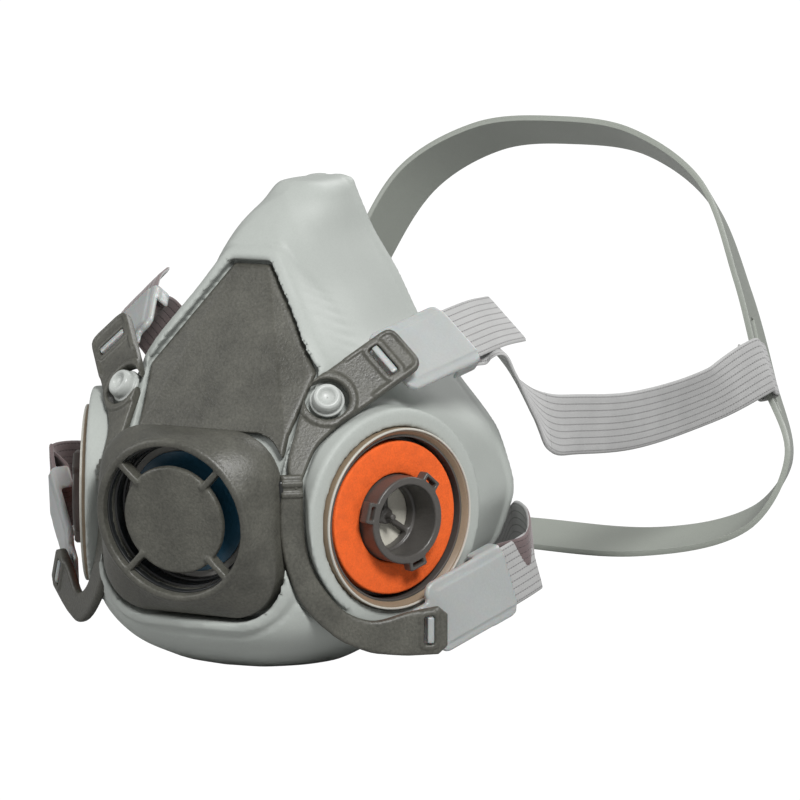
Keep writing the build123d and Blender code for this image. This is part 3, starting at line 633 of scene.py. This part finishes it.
def facepiece():
    points, faces = sampled(face_field, (-62, -52, -1.6), (62, 50, 128.4), FACE_STEP, even=True)
    piece = made("facepiece_shell", points, faces)
    dressed(piece, "mask", ELASTOMER, "facepiece")


# ---- yoke
def lifted(points, lift):
    """Points of the lower arm's tip, turned up about the arm's lowest bend."""
    turn, (u0, v0) = radians(lift), TIP_BEND
    return [
        (u0 + (u - u0) * cos(turn) - (v - v0) * sin(turn), v0 + (u - u0) * sin(turn) + (v - v0) * cos(turn))
        for u, v in points
    ]


def lower_outline(side):
    """Outline of the lower arm's band, from the ribs round to its slotted tip."""
    tip = lifted(LOWER_TIP, TIP_LIFT[side])
    outer = curve([(-3.0, 56), (-3.0, 39), (1.5, 23.5), (11, 13), (20, 8.4), tip[0], tip[1]], 6)
    inner = curve([tip[-1], (21, 16.6), (12, 21.2), (4.2, 35), (2.8, 56)], 6)
    return [tuple(p) for p in outer] + tip[2:-1] + [tuple(p) for p in inner]


def lower_slot(side):
    return lifted([(LOWER_SLOT[0], LOWER_SLOT_Z)], TIP_LIFT[side])[0]


def upper_arm_field(u, v, w):
    """Upper arm: plate with an eye for the peg, a strap slot and raised borders round both."""
    outline = polygon(u, v, rounded(UPPER_OUTLINE, 3.4))
    distance, width, length = UPPER_SLOT
    slot = rounded_square(u - distance, v + SLOT_DROP, width / 2, length / 2, 0.7)
    eye = np.hypot(u, v)
    border = np.clip((outline + 1.5) / 0.35, 0, 1) * np.clip((u - 9.5) / 1.5, 0, 1)
    border = np.maximum(border, np.clip((1.7 - slot) / 0.35, 0, 1))
    collar = np.clip((1.35 - np.abs(eye - PEG_HOLE_R - 0.9)) / 0.4, 0, 1)
    top = 0.45 * border + 0.65 * collar
    plate = meet(outline, slab(w, -PLATE, top), 0.9)
    plate = cut(plate, eye - PEG_HOLE_R, 0.5)
    return cut(plate, slot, 0.4)


def lower_arm_field(side):
    outline = lower_outline(side)
    slot_u, slot_v = lower_slot(side)
    turn = radians(TIP_LIFT[side])

    def field(u, v, w):
        shape = polygon(u, v, outline)
        along = (u - slot_u) * cos(turn) + (v - slot_v) * sin(turn)
        across = (v - slot_v) * cos(turn) - (u - slot_u) * sin(turn)
        slot = rounded_square(along, across, LOWER_SLOT[1] / 2, LOWER_SLOT[2] / 2, 0.7)
        border = np.clip((1.6 - slot) / 0.35, 0, 1)
        band = meet(shape, slab(w, -PLATE, 0.4 * border), 1.0)
        for height in RIB_HEIGHTS:
            rib = bar(u, v, w, (-3.0, 2.8), (height, height + RIB_TALL), (-PLATE, 0.6), 0.4)
            band = join(band, rib, 0.3)
        return cut(band, slot, 0.4)

    return field


def yoke():
    """Both upper and lower arms, and the ring and bar that join them behind the cover."""
    points, faces = sampled(upper_arm_field, (-25, -18, -4), (28.5, 8.5, 2.6), UPPER_ARM_STEP)
    upper = upper_arm_plane()
    right = np.array([upper @ Vector(p) for p in points])
    for word, placed, turn in (("right", right, False), ("left", flipped(right), True)):
        piece = made(f"yoke_upper_arm_{word}", placed, faces, turn=turn)
        dressed(piece, "mask", DARK, "harness_yoke")
    lower = lower_arm_plane()
    for word, side in (("right", 1), ("left", -1)):
        points, faces = sampled(lower_arm_field(side), (-5, 3, -4), (45, 58, 2.6), LOWER_ARM_STEP)
        placed = np.array([lower @ Vector(p) for p in points])
        if side == -1:
            placed = flipped(placed)
        piece = made(f"yoke_lower_arm_{word}", placed, faces, turn=side == -1)
        dressed(piece, "mask", DARK, "harness_yoke")

    def centre_field(u, v, w):
        reach = np.hypot(u, v)
        ring = meet(slab(reach, CENTRE_BORE_R, BORE_R + 0.5), slab(w, RECESS_PLANE, SEAT_PLANE), 0.4)
        across, up = (-BEAM_HALF, BEAM_HALF), (-BEAM_HALF_HEIGHT, BEAM_HALF_HEIGHT)
        beam = bar(u, v, w, across, up, (RECESS_PLANE, SEAT_PLANE), 0.4)
        return cut(join(ring, beam, 0.4), reach - CENTRE_BORE_R)

    points, faces = sampled(centre_field, (-28, -22, -15.5), (28, 22, -10.5), CENTRE_STEP)
    centre = made("yoke_centre_ring", points, faces, exhale_plane())
    # The centre ring is coloured near-black as painted shade behind the cover.
    dressed(centre, "mask", SHADOW, "harness_yoke")


# ---- front cover
def cover_field(x, y, z):
    """Cover: a faceted shell above, and a cowl that runs from a rounded square to the round opening."""
    outline = polygon(x[:, 0], z[:, 0], cover_silhouette())[:, None, :]
    front = cover_front(x, z)
    shell = meet(outline, slab(y, front, front + COVER_THICK), 1.2)
    u, v, w = local(exhale_plane(), x, y, z)
    reach = np.hypot(u, v)
    rim_y = EXHALE_CENTRE.y - tan(radians(EXHALE_TILT)) * (z - EXHALE_CENTRE.z)
    share = np.clip((COWL_FRONT_Y - y) / (COWL_FRONT_Y - rim_y), 0, 1)
    square = cowl_square(x, z)
    flank = square + (reach - RIM_R - square) * share ** 1.5
    cowl = meet(flank, slab(y, rim_y - 0.4, COWL_BACK_Y), 1.2)
    cowl = meet(cowl, RECESS_PLANE + 0.2 - w, 0.4)
    body = join(shell, cowl, 1.6)
    body = cut(body, np.maximum(square + COWL_WALL, COWL_INSIDE_Y - y), 0.4)
    bore = BORE_R - 0.6 * (w < -3.0) - 0.6 * (w < -6.5)
    body = join(body, meet(slab(reach, bore, BORE_R + 1.3), slab(w, SEAT_PLANE, -0.5), 0.3), 0.3)
    bead = np.hypot(reach - BORE_R - 1.0, w + 0.5) - 1.25
    body = join(body, bead, 0.5)
    body = cut(body, np.maximum(reach - bore, slab(w, SEAT_PLANE - 1, 6)), 0.3)
    guard = meet(reach - GUARD_R, slab(w, -2.6, -0.2), 0.9)
    across = np.abs(np.abs(u) - np.abs(v)) / 2 ** 0.5
    along = (np.abs(u) + np.abs(v)) / 2 ** 0.5
    spoke = meet(across - SPOKE_WIDTH / 2, slab(along, GUARD_R - 1.5, BORE_R + 1.6), 0.3)
    spoke = meet(spoke, slab(w, -3.5, 0.35), 0.5)
    return np.minimum(body, join(guard, spoke, 0.4))


def front_cover():
    points, faces = sampled(cover_field, (-27.5, -62.5, 13.5), (27.5, -5.0, 108), COVER_STEP, even=True)
    piece = made("front_cover_shell", points, faces)
    dressed(piece, "mask", DARK, "front_cover")
    # The stepped liner is a near-black sheet of painted shade inside the exhalation bore.
    steps = [(0.4, -1.6), (-0.5, -1.6), (-0.5, -4.4), (-1.2, -4.6), (-1.2, -7.6), (-1.9, -7.8)]
    steps += [(-1.9, SEAT_PLANE + 0.3), (0.4, SEAT_PLANE + 0.3)]
    liner = rounded([(BORE_R + step, height) for step, height in steps], 0.25)
    piece = lathe("front_cover_bore_shade", exhale_plane(), liner, 120)
    dressed(piece, "mask", SHADOW, "front_cover")


# ---- inlets
def connector_field(u, v, w):
    """Bayonet tube with its base flange, three hollow lugs, a three-armed spider and its stem."""
    base = RING_FLOOR - PORT_DEPTH
    reach = np.hypot(u, v)
    body = meet(slab(reach, TUBE_BORE_R, TUBE_R), slab(w, base, TUBE_STAND), 0.5)
    flange = meet(slab(reach, SPIDER_BORE_R, RING_BORE_R - 0.15), slab(w, base, base + BASE_THICK), 0.3)
    body = join(body, flange, 0.5)
    body = join(body, meet(slab(reach, SPIDER_BORE_R, TUBE_R), slab(w, base, base + SPIDER_DEPTH), 0.3), 0.4)
    for angle in LUG_ANGLES:
        turn = radians(angle)
        along, across = u * cos(turn) + v * sin(turn), v * cos(turn) - u * sin(turn)
        lug = bar(along, across, w, (LUG_R - 3.3, LUG_R + 0.1), (-2.8, 2.8), (-0.2, TUBE_STAND), 0.35)
        lug = cut(lug, bar(along, across, w, (LUG_R - 1.95, LUG_R - 0.75), (-1.8, 1.8), (-3, 6), 0.2), 0.2)
        body = join(body, lug, 0.3)
        turn = radians(angle + SPIDER_TURN)
        along, across = u * cos(turn) + v * sin(turn), v * cos(turn) - u * sin(turn)
        arm = bar(along, across, w, (0, SPIDER_BORE_R + 0.6), (-0.75, 0.75), (base, base + 2.2), 0.3)
        body = join(body, arm, 0.5)
    hub = meet(reach - 2.2, slab(w, base, base + 2.6), 0.5)
    stem = meet(reach - 0.9, slab(w, base, base + 5.4), 0.4)
    return join(body, join(hub, stem, 0.6), 0.4)


def inlets():
    floor_at = RING_FLOOR - PORT_DEPTH
    base = RING_FLOOR + BASE_THICK - PORT_DEPTH
    top, inner = base + GASKET_THICK, TUBE_R + 0.25
    connector = sampled(connector_field, (-22.5, -22.5, -9.6), (22.5, 22.5, 4.2), CONNECTOR_STEP)
    ring = [(RING_R, -PORT_DEPTH), (RING_R, -0.5), (RING_R - 0.9, -0.5), (RING_BORE_R + 0.3, -2.0),
            (RING_BORE_R, -4.0), (RING_BORE_R, floor_at), (SEAT_BORE_R, floor_at), (SEAT_BORE_R, -PORT_DEPTH)]
    rim = [(RING_R, -0.7), (RING_R, 0.0), (RING_R - 0.6, 0.0), (RING_R - 0.6, -0.7)]
    wall = [(RING_BORE_R + 0.5, -1.7), (RING_BORE_R - 0.1, -1.7), (RING_BORE_R - 0.1, base - 0.2),
            (RING_BORE_R + 0.5, base - 0.2)]
    foam = [(GASKET_R, base), (GASKET_R, top), (inner, top), (inner, base)]
    flap = [(0, floor_at - 0.1), (INLET_VALVE_R, floor_at - 0.1), (INLET_VALVE_R, floor_at - 0.9),
            (1.8, floor_at - 0.9), (1.8, floor_at - 2.4), (0, floor_at - 2.4)]
    turned = [
        ("port_ring_body", ring, 0.35, "ring_plastic", RING, "port_ring"),
        ("port_ring_rim", rim, 0.3, "ring_plastic", RIM, "port_ring"),
        ("port_ring_wall", wall, 0.2, "ring_plastic", CONNECTOR, "port_ring"),
        ("inlet_gasket_foam", foam, 0.7, "gasket_foam", FOAM, "inlet_gasket"),
        ("inhalation_flap", flap, 0.2, "valve_pale", PALE, "inhalation_valve"),
    ]
    for word, side in (("right", 1), ("left", -1)):
        place = port_plane(side)
        for name, profile, radius, slot, material, part in turned:
            piece = lathe(f"{name}_{word}", place, rounded(profile, radius))
            body = f"{part}_{word}" if profile is flap else "mask"
            dressed(piece, body, material, f"{part}_{word}")
        piece = made(f"inlet_connector_body_{word}", *connector, place)
        dressed(piece, "mask", CONNECTOR, f"inlet_connector_{word}")


def vents():
    """Exhalation valve flap in front of its seat, which stays the CAD node."""
    face = SEAT_PLANE + 2.7
    flap = [(0, face), (EXHALE_VALVE_R - 3, face), (EXHALE_VALVE_R, face + 0.2), (EXHALE_VALVE_R, face + 0.8),
            (EXHALE_VALVE_R - 3.5, face + 0.5), (4.2, face + 0.8), (2.6, face + 1.4), (0, face + 1.4)]
    piece = lathe("exhalation_flap", exhale_plane(), rounded(flap, 0.2))
    dressed(piece, "exhalation_valve", BLUE, "exhalation_valve")


def pegs():
    head = [(0, -9), (2.7, -9), (2.7, -1.6), (4.6, -1.6), (4.6, -0.7), (3.9, -0.5), (3.9, 0.9), (3.5, 2.1),
            (2.9, 2.5), (2.3, 2.3), (1.7, 1.5), (0.9, 1.2), (0, 1.15)]
    right = upper_arm_plane()
    mirror = Matrix.Diagonal((-1, 1, 1, 1))
    for word, place in (("right", right), ("left", mirror @ right)):
        piece = lathe(f"retaining_peg_stud_{word}", place, rounded(head, 0.35), 64)
        dressed(piece, "mask", PEG, f"retaining_peg_{word}")


# ---- clips
def clip_plane(arm, slot_at, far_end, side, roll):
    """Plane at an arm's slot with x towards the strap and z outwards."""
    flip = Vector((side, 1, 1))
    outward = arm.col[2].to_3d() * flip
    origin = (arm @ Vector((*slot_at, 0))) * flip
    along = (Vector(far_end) - origin).normalized()
    lean = along.dot(outward)
    if lean > 0:
        along = (along - outward * lean).normalized()
    out = (outward - along * outward.dot(along)).normalized()
    out.rotate(Quaternion(along, radians(roll)))
    return plane(origin - outward * (PLATE / 2), along, out)


CLIP_PLANES = {
    f"{level}_{word}": clip_plane(
        upper_arm_plane() if level == "upper" else lower_arm_plane(),
        (UPPER_SLOT[0], 0) if level == "upper" else lower_slot(side),
        CLIP_ENDS[f"{level}_{word}"],
        side,
        CLIP_ROLL.get(f"{level}_{word}", 0.0),
    )
    for level in ("upper", "lower")
    for word, side in (("right", 1), ("left", -1))
}


def clip_field(x, y, z):
    """Clip: a cover plate with rounded ears, and two cheeks that hold a bar under its far end."""
    half, inside, cheeks = CLIP_WIDTH / 2, STRAP_WIDTH / 2 + STRAP_ROOM, CLIP_LENGTH - CLIP_CHEEK
    near, reach = 4.2, CLIP_LENGTH
    plate = rounded_square(x - (near + reach) / 2, y, (reach - near) / 2, half, 3.2)
    neck = rounded_square(x - 3.0, y, 4.3, 5.4, 1.0)
    panel = np.clip((x - 6.5) / 1.2, 0, 1) * np.clip((half - 2.2 - np.abs(y)) / 0.6, 0, 1)
    top = -2.5 - 0.55 * (x < 1.5) + 0.35 * panel
    body = meet(join(plate, neck, 1.2), slab(z, -4.3, top), 0.8)
    cheek = bar(x, np.abs(y), z, (cheeks, CLIP_LENGTH), (inside, half), (-8.2, -3.0), 1.2)
    body = join(body, cheek, 1.0)
    body = cut(body, bar(x, y, z, (cheeks - 2, CLIP_LENGTH + 2), (-inside, inside), (-9, -3.55), 0.4), 0.3)
    rod = bar(x, y, z, (CLIP_LENGTH - 4.6, CLIP_LENGTH - 2.2), (-half, half), (-7.0, -5.0), 0.8)
    return join(body, rod, 0.4)


def tab_field(width):
    """Hooked tab that stands in an arm's slot, in the slot's own frame."""

    def field(u, v, w):
        stem = bar(u, v, w, (-0.4, 1.1), (-width / 2, width / 2), (-PLATE - 1.6, 0.3), 0.4)
        lip = bar(u, v, w, (-0.4, 1.3), (-width / 2, width / 2), (-0.5, 0.3), 0.4)
        return join(stem, lip, 0.4)

    return field


def clips():
    body = sampled(clip_field, (-2.2, -11, -9), (CLIP_LENGTH + 1, 11, -1.2), CLIP_STEP)
    for level, width in (("upper", 8.8), ("lower", 6.8)):
        tab = sampled(tab_field(width), (-2.5, -5.5, -5.5), (2.5, 5.5, 2.2), TAB_STEP)
        arm = upper_arm_plane() if level == "upper" else lower_arm_plane()
        for word, side in (("right", 1), ("left", -1)):
            name = f"clip_{level}_{word}"
            piece = made(f"{name}_body", *body, CLIP_PLANES[f"{level}_{word}"])
            dressed(piece, name, CLIP, name)
            slot_at, lift = (UPPER_SLOT[0], -SLOT_DROP), 0.0
            if level == "lower":
                slot_at, lift = lower_slot(side), TIP_LIFT[side]
            place = arm @ Matrix.Translation((*slot_at, 0)) @ Matrix.Rotation(radians(lift), 4, "Z")
            points = [place @ Vector(p) for p in tab[0]]
            hook = made(f"{name}_tab", points if side == 1 else flipped(points), tab[1], turn=side == -1)
            dressed(hook, name, CLIP, name)


# ---- head cradle
def cradle_plane():
    lean = radians(CRADLE_LEAN)
    return plane(CRADLE_AT, (-1, 0, 0), (0, cos(lean), -sin(lean)))


def rim_curve(depth_share):
    """The band's outline at a share of its depth, in the cradle's plane."""
    scale = 1 / cos(radians(CRADLE_LEAN))
    points = []
    for i, (x, z) in enumerate(RIM_HALF):
        before, after = RIM_HALF[max(i - 1, 0)], RIM_HALF[min(i + 1, len(RIM_HALF) - 1)]
        run_x, run_z = after[0] - before[0], after[1] - before[1]
        length = (run_x ** 2 + run_z ** 2) ** 0.5
        inward = RIM_INSET[i] * depth_share
        points.append((x + run_z / length * inward, (z - CRADLE_AT.z) * scale - run_x / length * inward))
    points[0], points[-1] = (0, points[0][1]), (0, points[-1][1])
    loop = points + [(-x, v) for x, v in reversed(points[1:-1])]
    return np.array(curve(loop, RIM_STEPS, closed=True))


def slot_plane(side):
    """Plane on the cradle's rim at a strap slot: x along the band's depth, y along the rim."""
    (x0, z0), (x, z), (x1, z1) = RIM_HALF[SLOT_INDEX + 1], RIM_HALF[SLOT_INDEX], RIM_HALF[SLOT_INDEX - 1]
    lean = radians(CRADLE_LEAN)
    slope = tan(lean)
    rim = Vector((side * (x1 - x0), (z1 - z0) * slope, z1 - z0)).normalized()
    deep = Vector((-side * RIM_INSET[SLOT_INDEX] / CRADLE_BAND, cos(lean), -sin(lean))).normalized()
    middle = (side * (x - CRADLE_THICK / 2), CRADLE_AT.y + (z - CRADLE_AT.z) * slope, z)
    return plane(middle, deep, deep.cross(rim) * side)


def head_cradle():
    """Moulded band of the head cradle: a ring of quads with two slots, thickened and rounded."""
    rows = [0.0, 0.5, CRADLE_SLOT[0], CRADLE_SLOT[1], 10.0, 13.0, 16.0, CRADLE_BAND - 0.5, CRADLE_BAND]
    base = rim_curve(0)
    gaps = np.linalg.norm(np.roll(base, -1, 0) - base, axis=1)
    places = np.concatenate([[0], np.cumsum(gaps)])
    total = places[-1]
    to_slot, half = places[SLOT_INDEX * RIM_STEPS] - SLOT_RISE, CRADLE_SLOT[2] / 2
    spans = [(middle - half, middle + half) for middle in (to_slot, total - to_slot)]
    stations = sorted(set(np.linspace(0, total, 260)[:-1]) | {end for span in spans for end in span})
    shapes = []
    for depth in rows:
        line = rim_curve(depth / CRADLE_BAND)
        line = np.vstack([line, line[:1]])
        u, v = (np.interp(stations, places, line[:, axis]) for axis in range(2))
        shapes.append([(-a, b, depth) for a, b in zip(u, v)])
    count = len(stations)
    points = [shape[i] for shape in shapes for i in range(count)]
    faces = []
    for r in range(len(rows) - 1):
        for i in range(count):
            j = (i + 1) % count
            middle = (stations[i] + (stations[j] if j else total)) / 2
            open_here = rows[r] == CRADLE_SLOT[0] and any(low < middle < high for low, high in spans)
            if not open_here:
                faces.append((r * count + i, r * count + j, (r + 1) * count + j, (r + 1) * count + i))
    piece = made("head_cradle_band", points, faces, cradle_plane())
    thick = piece.modifiers.new("thick", "SOLIDIFY")
    thick.thickness = CRADLE_THICK / 1000
    thick.offset = -1.0
    thick.use_even_offset = True
    soft = piece.modifiers.new("soft", "BEVEL")
    soft.width = 0.0004
    soft.segments = 2
    soft.limit_method = "ANGLE"
    soft.angle_limit = radians(45)
    dressed(piece, "head_cradle", CRADLE, "head_cradle")


# ---- neck clasp
def clasp_fields():
    """Fields of the two clasp halves in the loop half's plane and the hook half's plane."""
    half, window, reach = CLASP_HEIGHT / 2, STRAP_WIDTH / 2 + STRAP_ROOM, CLASP_HEIGHT / 2 - 3.2

    def body(x, y, z):
        plate = bar(x, y, z, (5.0, 20.0), (-half, half), (-1.5, 1.5), 0.9)
        return cut(plate, bar(x, y, z, (12.0, 17.0), (-window, window), (-3, 3), 0.6), 0.4)

    def loop(x, y, z):
        shape = body(x, y, z)
        for low, high in ((-half, -half + 2.5), (half - 2.5, half)):
            shape = join(shape, bar(x, y, z, (-2.0, 6.0), (low, high), (-1.5, 1.5), 0.7), 0.5)
        return join(shape, meet(np.hypot(x, z) - CLASP_BAR_R, slab(y, -half + 1, half - 1), 0.2), 0.3)

    def hook(x, y, z):
        ring = meet(slab(np.hypot(x, z), CLASP_BAR_R + 0.3, CLASP_BAR_R + 2.2), slab(y, -reach, reach), 0.4)
        ring = cut(ring, np.maximum(slab(x, -8, 1.6), slab(z, -8, 0)), 0.3)
        neck = bar(x, y, z, (CLASP_BAR_R + 0.9, 6.0), (-reach, reach), (-1.5, 1.5), 0.5)
        return join(join(body(x, y, z), ring, 0.3), neck, 0.5)

    return loop, hook


def neck_clasp():
    loop, hook = clasp_fields()
    for name, field, outward in (("neck_loop", loop, 1), ("neck_hook", hook, -1)):
        place = plane((0, CLASP_Y, CLASP_Z), (outward, 0, 0), (0, -1, 0))
        points, faces = sampled(field, (-5, -11.5, -5), (21.5, 11.5, 5), CLASP_STEP)
        piece = made(f"{name}_body", points, faces, place)
        body = "mask" if name == "neck_loop" else "neck_hook"
        dressed(piece, body, CLASP, name)


# ---- straps
def clip_loop(word):
    """Webbing round a clip's bar, tail first, as (centre, width direction)."""
    place = CLIP_PLANES[word]
    side = 1 if word.endswith("right") else -1
    across = place.col[1].to_3d() * side
    end = CLIP_LENGTH
    turn = [(end - 1, -4.25), (end - 5, -4.25), (end - 6.3, -6.0), (end - 5, -7.75), (end + 1, -7.8)]
    return [(place @ Vector((x, 0, z)), across) for x, z in TAILS[word] + turn]


def cradle_loop(side):
    place = slot_plane(side)
    across = place.col[1].to_3d() * side
    path = [(-9, 2.9), (-1.5, 2.9), (3.4, 2.7), (5.2, 0.0), (3.4, -2.7), (-1.5, -2.9), (-9, -2.2)]
    return [(place @ Vector((x, 0, z)), across) for x, z in path]


def clasp_loop(outward):
    path = [(30, -2.8), (20.5, -2.9), (17.0, -2.7), (14.6, 0.0), (17.0, 2.7), (20.5, 2.9), (30, 2.0)]
    return [(Vector((outward * x, CLASP_Y - y, CLASP_Z)), UP) for x, y in path]


def ribbon(name, stations, outer, inner):
    """Woven strap along (centre, width direction) stations, with ribs on both faces."""
    sides = 34
    offsets = np.linspace(-1, 1, sides)
    half = STRAP_WIDTH / 2
    rib = RIB_DEPTH * np.cos(offsets * half * 2 * pi / WEAVE_PITCH) ** 2
    thin = STRAP_THICK / 2 * np.sqrt(np.maximum(1 - np.abs(offsets) ** 14, 0.04))
    face = list(zip(offsets * half, thin - rib))
    profile = face + [(u, -w) for u, w in reversed(face)]
    count = len(profile)
    points, weave, faces, marks = [], [], [], []
    run = 0.0
    for i, (centre, across) in enumerate(stations):
        before, after = stations[max(i - 1, 0)][0], stations[min(i + 1, len(stations) - 1)][0]
        along = (after - before).normalized()
        width = (across - along * across.dot(along)).normalized()
        out = along.cross(width).normalized()
        run += (centre - before).length
        for u, w in profile:
            points.append(centre + width * u + out * w)
            weave.append((run, u, 0.0))
    for i in range(len(stations) - 1):
        for k in range(count):
            m = (k + 1) % count
            faces.append((i * count + k, i * count + m, (i + 1) * count + m, (i + 1) * count + k))
            marks.append(0 if k < sides - 1 else 1)
    last = (len(stations) - 1) * count
    for k in range(sides - 1):
        low, high = k, count - 1 - k
        faces.append((low, high, high - 1, low + 1))
        faces.append((last + low, last + low + 1, last + high - 1, last + high))
        marks += [0, 0]
    piece = made(name, points, faces, turn=True)
    attribute = piece.data.attributes.new("weave", "FLOAT_VECTOR", "POINT")
    attribute.data.foreach_set("vector", np.array(weave, np.float32).ravel())
    piece.data.materials.append(outer)
    piece.data.materials.append(inner)
    piece.data.polygons.foreach_set("material_index", np.array(marks, np.int32))
    piece.data.set_sharp_from_angle(angle=radians(60))
    return piece


def strap(word, outer, inner):
    """One strap in two pieces that meet halfway, one near its clip and the other near its far end."""
    side = 1 if word.endswith("right") else -1
    upper = word.startswith("upper")
    finish = cradle_loop(side) if upper else clasp_loop(side)
    start = clip_loop(word)
    knots = start + [(Vector(p), Vector(across)) for p, across in ROUTES[word]] + finish
    mixed = curve([(*centre, *(across.normalized() * 10)) for centre, across in knots], STRAP_STEPS)
    stations = [(Vector(p[:3]), Vector(p[3:])) for p in mixed]
    middle = (len(start) + len(ROUTES[word]) // 2) * STRAP_STEPS
    near = ribbon(f"strap_{word}_near", stations[:middle + 1], outer, inner)
    far = ribbon(f"strap_{word}_far", stations[middle:], outer, inner)
    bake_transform(near)
    if upper:
        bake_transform(far)
    elif side == -1:
        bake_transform(far)
    else:
        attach(far, "mask")
    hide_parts(f"strap_{word}")
    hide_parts(f"strap_{word}")


# ---- camera, floor and light
def camera():
    """Camera at the reference view: 25.5 degrees round to the wearer's left, 8.6 up, a long lens."""
    turn, rise, reach = radians(25.5), radians(8.6), 1000.0
    back = Vector((sin(turn) * cos(rise), -cos(turn) * cos(rise), sin(rise)))
    right = Vector((cos(turn), sin(turn), 0))
    above = back.cross(right)
    aim_right, aim_up, aim_height = 35.1, 67.3, 60
    target = right * aim_right + above * aim_up + back * back.z * aim_height
    data = bpy.data.cameras.new("camera")
    data.sensor_width, data.lens = 36.0, 166.5
    data.clip_start, data.clip_end = 0.05, 20.0
    camera_object = bpy.data.objects.new("camera", data)
    scene.collection.objects.link(camera_object)
    camera_object.location = row(target + back * reach)
    camera_object.rotation_mode = "QUATERNION"
    camera_object.rotation_quaternion = back.to_track_quat("Z", "Y")
    scene.camera = camera_object


def floor():
    mesh = bpy.data.meshes.new("floor")
    far = 4.0
    mesh.from_pydata([(-far, -far, 0), (far, -far, 0), (far, far, 0), (-far, far, 0)], [], [(0, 1, 2, 3)])
    ground = bpy.data.objects.new("floor", mesh)
    scene.collection.objects.link(ground)
    ground.data.materials.append(surface("floor_paper", (0.40, 0.40, 0.40), 0.7, 3.0, 0.01, 0.01, 3.0, 0.05))
    ground.visible_camera = False


def lamp(name, place, aim, size, power):
    data = bpy.data.lights.new(name, "AREA")
    data.size, data.energy = size, power
    light = bpy.data.objects.new(name, data)
    scene.collection.objects.link(light)
    light.location = place
    light.rotation_mode = "QUATERNION"
    light.rotation_quaternion = (Vector(place) - Vector(aim)).to_track_quat("Z", "Y")


def studio():
    scene.view_settings.view_transform = "Standard"
    world = bpy.data.worlds.new("world")
    world.use_nodes = True
    tree = world.node_tree
    plain = tree.nodes["Background"]
    plain.inputs["Color"].default_value = (1, 1, 1, 1)
    plain.inputs["Strength"].default_value = 0.30
    seen = node(tree, "ShaderNodeBackground", Color=(1, 1, 1, 1), Strength=1.05)
    rays = tree.nodes.new("ShaderNodeLightPath")
    either = tree.nodes.new("ShaderNodeMixShader")
    sources = rays.outputs["Is Camera Ray"], plain.outputs[0], seen.outputs[0]
    for socket, source in zip(either.inputs, sources):
        tree.links.new(source, socket)
    tree.links.new(either.outputs[0], tree.nodes["World Output"].inputs["Surface"])
    scene.world = world
    aim = (0, -0.05, 0.06)
    lamp("key", (0.62, -0.68, 0.80), aim, 0.30, 12.0)
    lamp("fill", (-0.8, -0.6, 0.5), aim, 0.5, 3.2)
    lamp("back", (0.2, 0.9, 0.8), aim, 0.6, 6.0)


facepiece()
yoke()
front_cover()
inlets()
vents()
pegs()
clips()
head_cradle()
neck_clasp()
strap("upper_right", WEB_LIGHT, WEB_LIGHT)
strap("upper_left", WEB_MAUVE, WEB_LIGHT)
strap("lower_right", WEB_MAUVE, WEB_LIGHT)
strap("lower_left", WEB_MAUVE, WEB_MAUVE)
# The exhalation valve's seat is coloured near-black as painted shade round the flap.
dressed(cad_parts["exhalation_valve_seat"], None, SHADOW)
camera()
floor()
studio()
